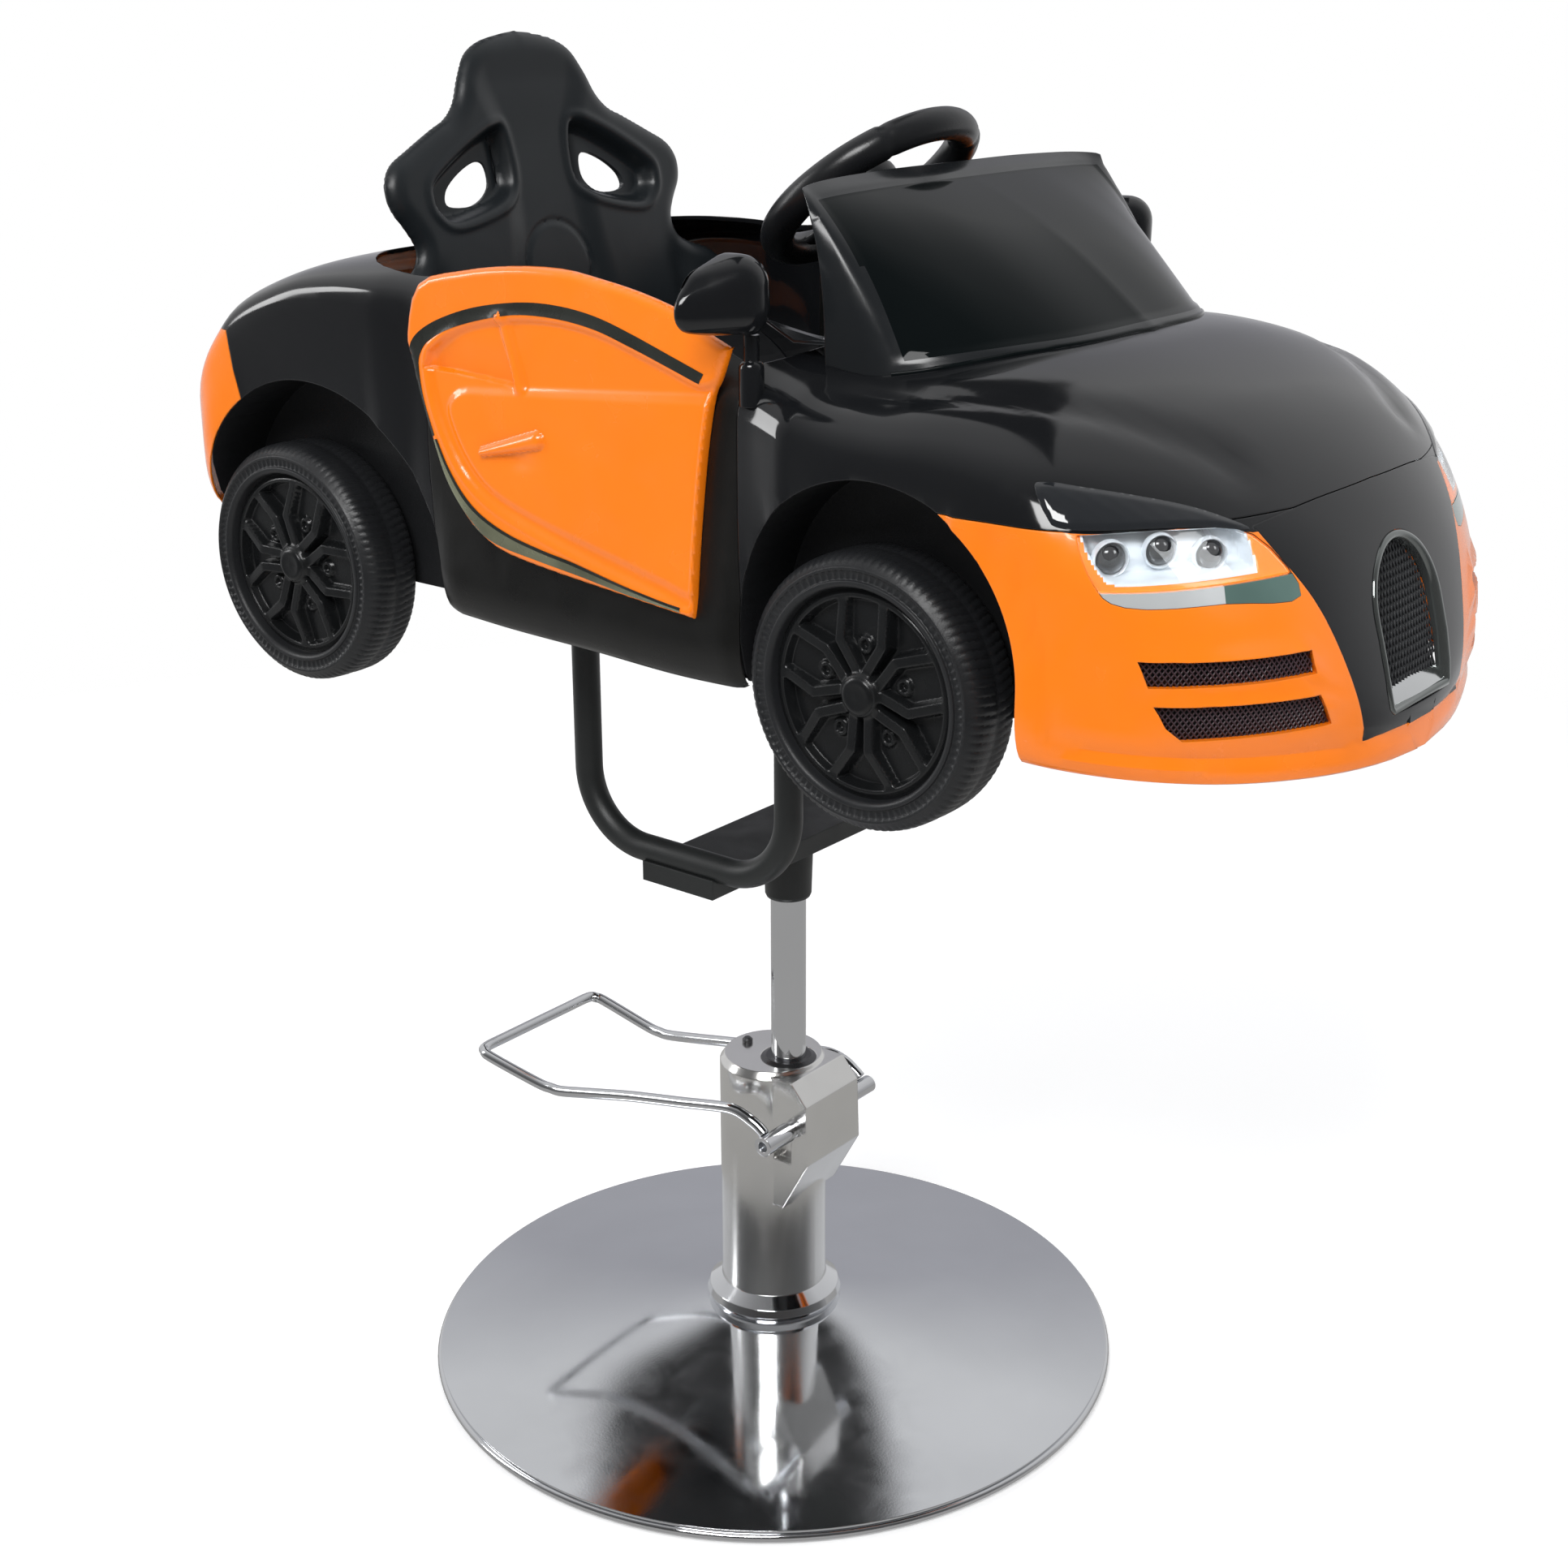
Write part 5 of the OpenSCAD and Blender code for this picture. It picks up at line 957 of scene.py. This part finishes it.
door_line = flowing(shares(door_share), 3)
sunk_line = flowing(milli((-112, 917), (-133, 904), (-138, 890), (-133, 863), (-121, 836), (-102, 811), (-71, 793),
    (-18, 777), (33, 764), (84, 753), (112, 747), (150, 760), (160, 900), (120, 905), (93, 913), (64, 922), (30, 931),
    (-5, 935), (-41, 934), (-73, 929), (-98, 923)), 3)
flat_line = flowing(milli((-108, 878), (-122, 864), (-117, 845), (-102, 822), (-80, 804), (-40, 790), (20, 776),
    (84, 762), (112, 756), (150, 765), (160, 899), (130, 898), (78, 894), (28, 890), (-23, 886), (-77, 882)), 3)
wedge_line = milli((-141, 889), (-136, 902), (-114, 918), (-90, 926), (-62, 932), (-50, 884.5), (-92, 887.5))


def door_height(x, z):
    """How far the door stands out from the side of the car."""
    edge_in = np.clip(nearest(x, z, door_line), 0, 1)
    h = 0.0035 + 0.0055 * np.sqrt(1 - (1 - np.clip(edge_in / 0.0055, 0, 1)) ** 2)
    sunk = nearest(x, z, sunk_line)
    h += 0.0007 * np.exp(-((sunk + 0.0024) / 0.0018) ** 2) * ease(0.001, 0.005, edge_in)
    h -= 0.0034 * ease(-0.0004, 0.0052, sunk) * ease(0, 0.004, edge_in)
    h += 0.002 * ease(-0.001, 0.007, nearest(x, z, flat_line))
    # Scoop: its floor falls away towards a line that runs back from the ridge
    wedge = nearest(x, z, wedge_line)
    above = z - (0.8895 - 0.05 * (x + 0.141))
    h -= 0.0046 * ease(-0.0006, 0.0016, wedge) * (1 - 0.9 * ease(0.001, 0.034, above))
    crease = z - (0.8855 + 0.088 * (x + 0.03))
    h -= 0.0012 * ease(-0.0016, 0.0016, crease) * (1 - ease(0.004, 0.036, crease)) * ease(-0.05, -0.04, x)
    ridge = nearest(x, z, milli((-60.5, 932), (-46.5, 884)), closed=False)
    h += 0.003 * (1 - ease(0.0022, 0.007, -ridge if ridge.max() <= 0 else ridge)) * ease(0.876, 0.886, z)
    # Grip: a tapered bump with a finger hollow under it
    t = np.clip((x + 0.084) / 0.054, 0, 1)
    grip = np.hypot(x + 0.084 - 0.054 * t, z - (0.8345 + 0.015 * t)) / (0.0032 + 0.0034 * t)
    h += 0.0052 * np.sqrt(1 - np.clip(grip, 0, 1) ** 2)
    under = np.hypot((x + 0.0542) / 2.4, z - 0.8325)
    h -= 0.0022 * np.exp(-(under / 0.0075) ** 2) * (grip > 1)
    return h


def strip_on_door(name, outer_line, inner_line, material, lift, side):
    """A foil laid on the door between two lines."""
    steps, at = 4, np.linspace(0, 1, 110)
    first, last = (np.column_stack([np.interp(at, np.linspace(0, 1, len(q)), q[:, k]) for k in (0, 1)])
        for q in (np.array(flowing(milli(*line), 8, False)) for line in (outer_line, inner_line)))
    verts = []
    for j in range(steps + 1):
        row = first + (last - first) * j / steps
        stand = door_y + door_height(row[:, 0], row[:, 1]) + lift
        verts += [(x, side * y, z) for (x, z), y in zip(row, stand)]
    return piece(name, verts, quads(steps + 1, len(at), ring=False), material, "gloss_black")


foil_black = finish("foil_black", tone(33, 35, 31), 0.3, (0.12, 0.35, 420, 0.2, 0.0004, 0.4), tone(140, 140, 96))
foil_grey = finish("foil_grey", tone(124, 126, 104), 0.24, (0.15, 0.8, 190, 0.25, 0.0004, 0.6), tone(60, 60, 50),
    metal=0.45)
uu, vv = grid_of((-0.1625, 0.1475, 0.00125), (0.7415, 0.9735, 0.00125))
stand = door_y + door_height(uu, vv)
for name, side in (("door_right", -1), ("door_left", 1)):
    front_of = [(x, side * y, z) for x, y, z in cells(uu, stand, vv)]
    plate = slab("panel_" + name, front_of, [(x, side * door_y, z) for x, y, z in front_of], uu.shape)
    carve(plate, prism(door_line, from_side, -0.4, 0.4), "INTERSECT")
    settle(plate, orange, "orange", name, sharp=50)
    strip_on_door("stripe_" + name, [(-138, 838), (-150, 862), (-155.5, 887), (-154.5, 903), (-144, 915), (-120, 927),
        (-84, 938), (-41, 945), (-5, 946), (30, 942), (64, 933), (98, 922), (125, 913)], [(-133, 841),
        (-142, 866), (-145.5, 889), (-143, 900), (-133, 910), (-109, 921), (-73, 931), (-41, 936.5), (-5, 937),
        (30, 933), (64, 924), (93, 915), (121, 906)], foil_black, 0.0003, side)
    strip_on_door("foil_" + name, [(-137, 837), (-127, 812), (-114, 792), (-98, 778), (-73, 768), (-30, 762),
        (12, 757), (53, 751), (101, 746.5)], [(-131.5, 838), (-121, 818), (-106, 799), (-88, 786), (-61, 776),
        (-29, 769.5), (2, 765), (53, 756), (101, 749)], foil_grey, 0.0003, side)
    strip_on_door("foil_line_" + name, [(-132.5, 838), (-122, 817.5), (-107, 798), (-88.5, 785), (-61, 775),
        (-29, 768.5), (2, 764), (53, 755), (101, 748.3)], [(-130.5, 838.5), (-120, 819), (-105, 800.5),
        (-87, 787.5), (-60.5, 777.5), (-28.5, 771), (2.5, 766.5), (53, 757.2), (101, 750)], foil_black, 0.0005, side)

# Screen. A raked sheet of black gloss plastic that wraps round to the sides, with a raised frame,
# a bead where it meets the hood and a small screwed tab at each foot.
screen_black = finish("screen_black", tone(11, 15, 16), 0.06, (0.04, 0.12, 40, 0.03, 0.0008, 0.3), tone(60, 62, 64),
    Specular_IOR_Level=0.14)
screen_frame = finish("screen_frame", tone(27, 29, 31), 0.2, (0.05, 0.12, 90, 0.05, 0.001, 0.4), tone(96, 98, 100))
glass_share = [(-1, 0.183, 0.16, 0.868, 1.33), (-0.985, 0.215, 0.158, 0.876, 1.334),
    (-0.93, 0.237, 0.154, 0.886, 1.338), (-0.82, 0.264, 0.151, 0.904, 1.342), (-0.65, 0.291, 0.149, 0.92, 1.345),
    (-0.4, 0.314, 0.148, 0.932, 1.348), (0, 0.322, 0.148, 0.94, 1.348)]


def screen_at(k, v, d=0.0):
    a = -abs(k)
    x0, x1, z0, z1 = (curve_at(a, glass_share, col) for col in (1, 2, 3, 4))
    bulge, sign = 0.009 * sin(pi * v), (1 if k > 0 else -1)
    return Vector((x0 + (x1 - x0) * v + bulge * 0.5 - d * 0.55,
        half_wide * k * (0.76 - 0.02 * v) - sign * d * 0.6 * abs(k) ** 3,
        sill_z + body_high * (z0 + (z1 - z0) * v) + bulge - d * 0.8 * (1 - k ** 4)))


side_steps, up_steps, foot_steps, frame_wide = 90, 54, 120, half_wide * 0.75
ks = [sin(pi / 2 * k) * 0.35 + k * 0.65 for k in (2 * i / side_steps - 1 for i in range(side_steps + 1))]
vs = [-0.1 + 1.1 * i / up_steps for i in range(up_steps + 1)]
front_of, back_of = [], []
for k in ks:
    for v in vs:
        rim = max(float(ease(0.905, 0.925, v)), float(ease(0.925, 0.94, abs(k))), 1 - float(ease(0.045, 0.06, v)))
        front_of.append(screen_at(k, v, -0.0014 * rim + 0.0002))
        back_of.append(screen_at(k, v, 0.004))
screen = carve(slab("screen", front_of, back_of, (len(ks), len(vs))), outer, keep=True)
settle(screen, [screen_black, screen_frame], "gloss_black", "windshield", sharp=40)
for p in screen.data.polygons:
    x, y, z = p.center
    k = max(-1, min(1, y / frame_wide))
    z0, z1 = (sill_z + body_high * curve_at(-abs(k), glass_share, col) for col in (3, 4))
    v = (z - z0) / (z1 - z0)
    p.material_index = int(v > 0.925 or abs(y) > frame_wide * 0.932 or v < 0.065)
foot_line = []
for k in ks[3:-3]:
    for i in range(foot_steps):
        spot = screen_at(k, -0.1 + 0.5 * i / foot_steps)
        ground, _ = onto((spot.x, spot.y, 1.4), (0, 0, -1))
        if ground is None or spot.z > ground.z:
            foot_line.append(spot)
            break
piece("screen_bead", *tube(foot_line[::2], 0.0021, 10), screen_black, "gloss_black")
screw_line = [(0.0034, 0), (0.0033, 0.001), (0.0024, 0.0017), (0.0011, 0.0017), (0.0009, 0.0008), (0.0001, 0.0008)]
for name, side in sides:
    flat = [(0.128, 0.186), (0.158, 0.17), (0.197, 0.176), (0.196, 0.186), (0.16, 0.195)]
    tab = [Vector((x, side * y, onto((x, side * y, 1.4), (0, 0, -1))[0].z)) for x, y in flat]
    height_ = max(p.z for p in tab)
    tab = [Vector((p.x, p.y, height_ + 0.0016 + 0.01 * (p.x < 0.15))) for p in tab]
    verts = tab + [p - Vector((0, 0, 0.0022)) for p in tab]
    faces = [tuple(range(5)), tuple(range(9, 4, -1))] + [(i, (i + 1) % 5, 5 + (i + 1) % 5, 5 + i) for i in range(5)]
    right_way(piece("screen_tab_" + name, verts, faces, screen_frame, "gloss_black"))
    for i, (x, y) in enumerate(((0.158, 0.18), (0.178, 0.181))):
        foot = Vector((x, side * y, height_ + 0.0014))
        piece("tab_screw_%s_%d" % (name, i), *turned(screw_line, lambda a, b, c: foot + Vector((a, b, c)), 20), steel,
            "gloss_black")

# Steering wheel. A thick moulded rim with two smooth grips, three spokes, a domed horn button
# and a plastic shroud round the column below it.
wheel_satin = finish("wheel_satin", tone(26, 27, 29), 0.3, (0.07, 0.15, 500, 0.14, 0.0012, 0.4), tone(88, 88, 90))
button_grey = finish("button_plastic", tone(58, 59, 61), 0.36, (0.05, 0.1, 600, 0.2, 0.0008, 0.4),
    tone(110, 110, 112))
hub, ax_x, ax_y = Vector((0.078, 0, 1.012)), Vector((0.78801, 0, 0.61566)), Vector((0, 1, 0))
ax_z = ax_x.cross(ax_y)


def at_wheel(a, b, c):
    return hub + ax_x * a + ax_y * b + ax_z * c


def bulged(value, power):
    """A sine or cosine raised to a power, with its sign kept."""
    return copysign(abs(value) ** power, value)


def turned_piece(name, line, at, material, slot, *stands_for, body="carrier", around=48):
    return right_way(piece(name, *turned(line, at, around), material, slot, *stands_for, body=body))


verts, rim_steps, rim_around = [], 160, 28
for i in range(rim_steps):
    a = 2 * pi * i / rim_steps
    joint = min(abs((degrees_ - a * 180 / pi + 180) % 360 - 180) for degrees_ in (38, 322, 142, 218))
    r = 0.012 + 0.0005 * (cos(2 * a) < 0.25) - 0.0011 * exp(-(joint / 1.6) ** 2)
    for j in range(rim_around):
        b = 2 * pi * j / rim_around
        verts.append(at_wheel((0.078 + r * cos(b)) * cos(a), (0.078 + r * cos(b)) * sin(a), r * 0.98 * sin(b)))
piece("steering_rim", verts, quads(rim_steps, rim_around, closed=True, back=True), wheel_satin,
    "satin_black", "steering_wheel", body="steering", sharp=50)
spoke_rows, spoke_around = 13, 20
for i, heading_ in enumerate((90, 180, 270)):
    d, verts = (cos(radians(heading_)), sin(radians(heading_))), []
    for k in range(spoke_rows):
        t = k / (spoke_rows - 1)
        along, spoke_half = 0.016 + 0.056 * t, 0.0105 + 0.0025 * (2 * t - 1) ** 2
        for j in range(spoke_around):
            b = 2 * pi * j / spoke_around
            w, h = spoke_half * bulged(cos(b), 0.6), 0.004 * bulged(sin(b), 0.7)
            verts.append(at_wheel(d[0] * along - d[1] * w, d[1] * along + d[0] * w, h - 0.0015 * sin(pi * t)))
    faces = quads(spoke_rows, spoke_around, back=True)
    faces += [tuple(range(spoke_around)), tuple(range(len(verts)))[-spoke_around:][::-1]]
    right_way(piece("steering_spoke_%d" % i, verts, faces, wheel_satin, "satin_black", body="steering", sharp=40))
turned_piece("steering_hub", [(0.0001, -0.01), (0.018, -0.01), (0.0215, -0.0085), (0.023, -0.0045),
    (0.023, 0.004), (0.0222, 0.0078), (0.02, 0.0098), (0.0186, 0.01), (0.018, 0.0088), (0.018, 0.0048),
    (0.0001, 0.0046)], at_wheel, wheel_satin, "satin_black", body="steering")
turned_piece("steering_shaft", [(0.007, -0.128), (0.007, -0.0095)], at_wheel, dark_steel, "satin_black",
    body="steering", around=24)
turned_piece("horn_cap", [(0.017, 0.0079), (0.017, 0.0118), (0.0164, 0.0134), (0.0148, 0.0146), (0.0118, 0.0153),
    (0.01, 0.015), (0.0088, 0.0156), (0.005, 0.0161), (0.0001, 0.0163)], at_wheel, button_grey,
    "button_grey", "horn_button", body="horn")
dress(tray, "steering_column")

# Mirrors. Round stalks with a collar stand on the fenders and carry smooth wedge shaped heads
# in black gloss; each head has a mirror glass on its rear face.
mirror_glass = finish("mirror_glass", (0.83, 0.85, 0.86, 1), 0.03, (0.02, 0.02, 60, 0.01, 0.0005, 0.2), metal=1.0)
pin_x, pin_y, face_x, face_steps = 0.154, 0.232, 0.1388, 48
for name, side in sides:
    stalk = turned_piece("stalk_" + name, [(0.0001, 0.8935), (0.0086, 0.8935), (0.0086, 0.918), (0.0082, 0.9205),
        (0.007, 0.9222), (0.0056, 0.923), (0.0054, 0.9245), (0.0054, 0.94), (0.0001, 0.94)],
        lambda a, b, c: Vector((pin_x + a, side * pin_y + b, c)), gloss_black, "gloss_black")
    carve(stalk, outer, keep=True)
    settle(stalk, gloss_black, "gloss_black", "mirror_stalk_" + name)
    source = part["mirror_" + name]
    head = placed("mirror_head_" + name, source.data.copy())
    head.data.transform(source.matrix_world)
    for kind, values in (("REMESH", {"mode": "VOXEL", "voxel_size": 0.0014}), ("SMOOTH", {"factor": 0.5,
            "iterations": 28})):
        step = head.modifiers.new(kind.lower(), kind)
        for key, value in values.items():
            setattr(step, key, value)
    done = bpy.data.meshes.new_from_object(head.evaluated_get(bpy.context.evaluated_depsgraph_get()))
    head.modifiers.clear()
    head.data = done
    carve(head, block((0.0, -0.5, 0.9), (face_x, 0.5, 1.1)))
    settle(head, gloss_black, "gloss_black", "mirror_" + name, body="mirror_" + name[0], sharp=28)
    rear = [v.co for v in head.data.vertices if v.co.x < face_x + 0.0002]
    cy, cz = sum(p.y for p in rear) / len(rear), sum(p.z for p in rear) / len(rear)
    wy, wz = max(abs(p.y - cy) for p in rear) * 0.84, max(abs(p.z - cz) for p in rear) * 0.82
    oval = [(wy * bulged(cos(2 * pi * j / face_steps), 0.8), wz * bulged(sin(2 * pi * j / face_steps), 0.8))
        for j in range(face_steps)]
    verts = [(face_x + 0.0002, cy + a, cz + b) for a, b in oval]
    verts += [(face_x - 0.0008, cy + a * 0.97, cz + b * 0.97) for a, b in oval]
    faces = [(j, (j + 1) % face_steps, face_steps + (j + 1) % face_steps, face_steps + j) for j in range(face_steps)]
    faces.append(tuple(range(2 * face_steps - 1, face_steps - 1, -1)))
    piece("mirror_face_" + name, verts, faces, mirror_glass, "gloss_black", body="mirror_" + name[0], sharp=25)

# Seat. A moulded bucket back in satin black with swollen bolsters, two slanted see-through
# openings and a plain round boss, standing on the ledge of a ribbed seat pan. A flat shelf lies
# in the deck behind it.
seat_satin = finish("seat_satin", tone(25, 29, 32), 0.36, (0.05, 0.1, 1100, 0.16, 0.0016, 0.25), tone(84, 87, 92))
seat_share = [(0.12, 0.992), (0.25, 0.977), (0.35, 0.948), (0.42, 0.895), (0.475, 0.84), (0.55, 0.803),
    (0.65, 0.78), (0.82, 0.738), (0.94, 0.705), (0.995, 0.66), (0.985, 0.605), (0.92, 0.555), (0.88, 0.51),
    (0.91, 0.468), (1.00, 0.442), (1.13, 0.42), (1.22, 0.38), (1.22, 0.32), (1.08, 0.255), (0.93, 0.175),
    (0.88, 0)]
hole_share = [(0.22, 0.762), (0.28, 0.78), (0.42, 0.754), (0.6, 0.706), (0.745, 0.657), (0.768, 0.622),
    (0.745, 0.585), (0.64, 0.555), (0.38, 0.578), (0.24, 0.612), (0.2, 0.665)]
through_share = [(0.33, 0.69), (0.4, 0.697), (0.52, 0.67), (0.605, 0.634), (0.6, 0.6), (0.43, 0.598),
    (0.33, 0.635)]
seat_wide, seat_high, lean = 0.168, 0.3272, radians(12)


def seat_point(u, v, d):
    return (-0.204 - v * sin(lean) + d * cos(lean), u, 0.795 + v * cos(lean) + d * sin(lean))


def seat_hole(share, sign):
    return [(sign * a * seat_wide, b * seat_high) for a, b in flowing(share, 5)]


seat_edge = flowing([(0.0, seat_high)] + [(a * seat_wide, b * seat_high) for a, b in seat_share], 4, False)
seat_line = seat_edge + [(-a, b) for a, b in seat_edge[::-1][:-1]]
uu, vv = grid_of((-0.208, 0.2085, 0.0022), (-0.001, 0.3305, 0.0022))
rim = np.clip(nearest(uu, vv, seat_line), 0, 1)
hole = np.maximum(*(nearest(uu, vv, seat_hole(hole_share, sign)) for sign in (-1, 1)))
rounding = np.sqrt(1 - (1 - np.clip(rim / 0.015, 0, 1)) ** 2)
front_d = -0.011 + 0.0105 * rounding
# The middle is sunk between the bolsters from the headrest down
side_of = np.abs(uu) / seat_wide
spine = 0.16 + 0.12 * ease(0.2, 0.05, vv) + 0.1 * ease(0.24, 0.3, vv)
front_d -= (0.005 * (1 - ease(spine, spine + 0.16, side_of)) * ease(0.315, 0.285, vv)
    * (1 - ease(0.235, 0.285, vv) * 0.4))
front_d -= 0.0045 * np.exp(-((side_of - 0.86 + 0.3 * (vv / seat_high - 0.4)) / 0.075) ** 2) * ease(0.165, 0.12, vv)
front_d += 0.0016 * np.exp(-((hole + 0.0035) / 0.0028) ** 2)
front_d -= 0.015 * ease(0, 0.0085, hole)
boss = np.hypot(uu, vv - 0.425 * seat_high)
front_d += 0.0012 * (1 - ease(0.0335, 0.036, boss)) - 0.0012 * np.exp(-((boss - 0.0372) / 0.0014) ** 2)
back_d = -0.011 - 0.006 * rounding - 0.01 * ease(0.002, 0.05, rim)
back_d += 0.007 * ease(-0.0005, 0.0085, hole) + 0.003 * (1 - ease(0.3, 0.44, side_of)) * ease(0.31, 0.28, vv)
front_of, back_of = ([seat_point(*cell) for cell in cells(uu, vv, depths)] for depths in (front_d, back_d))
seat = slab("seat_shell", front_of, back_of, uu.shape)
carve(seat, prism(seat_line, seat_point, -0.08, 0.05), "INTERSECT")
for sign in (-1, 1):
    carve(seat, prism(seat_hole(through_share, sign), seat_point, -0.08, 0.05))
settle(seat, seat_satin, "satin_black", "seat_back", sharp=50)
dress(seat_satin, "seat_base")
shelf = block((-0.352, -0.164, 0.826), (-0.214, 0.164, 0.83))
shelf.name = "rear_shelf"
settle(shelf, tray, "satin_black")
bpy.data.objects.remove(outer)
bpy.data.objects.remove(shell)
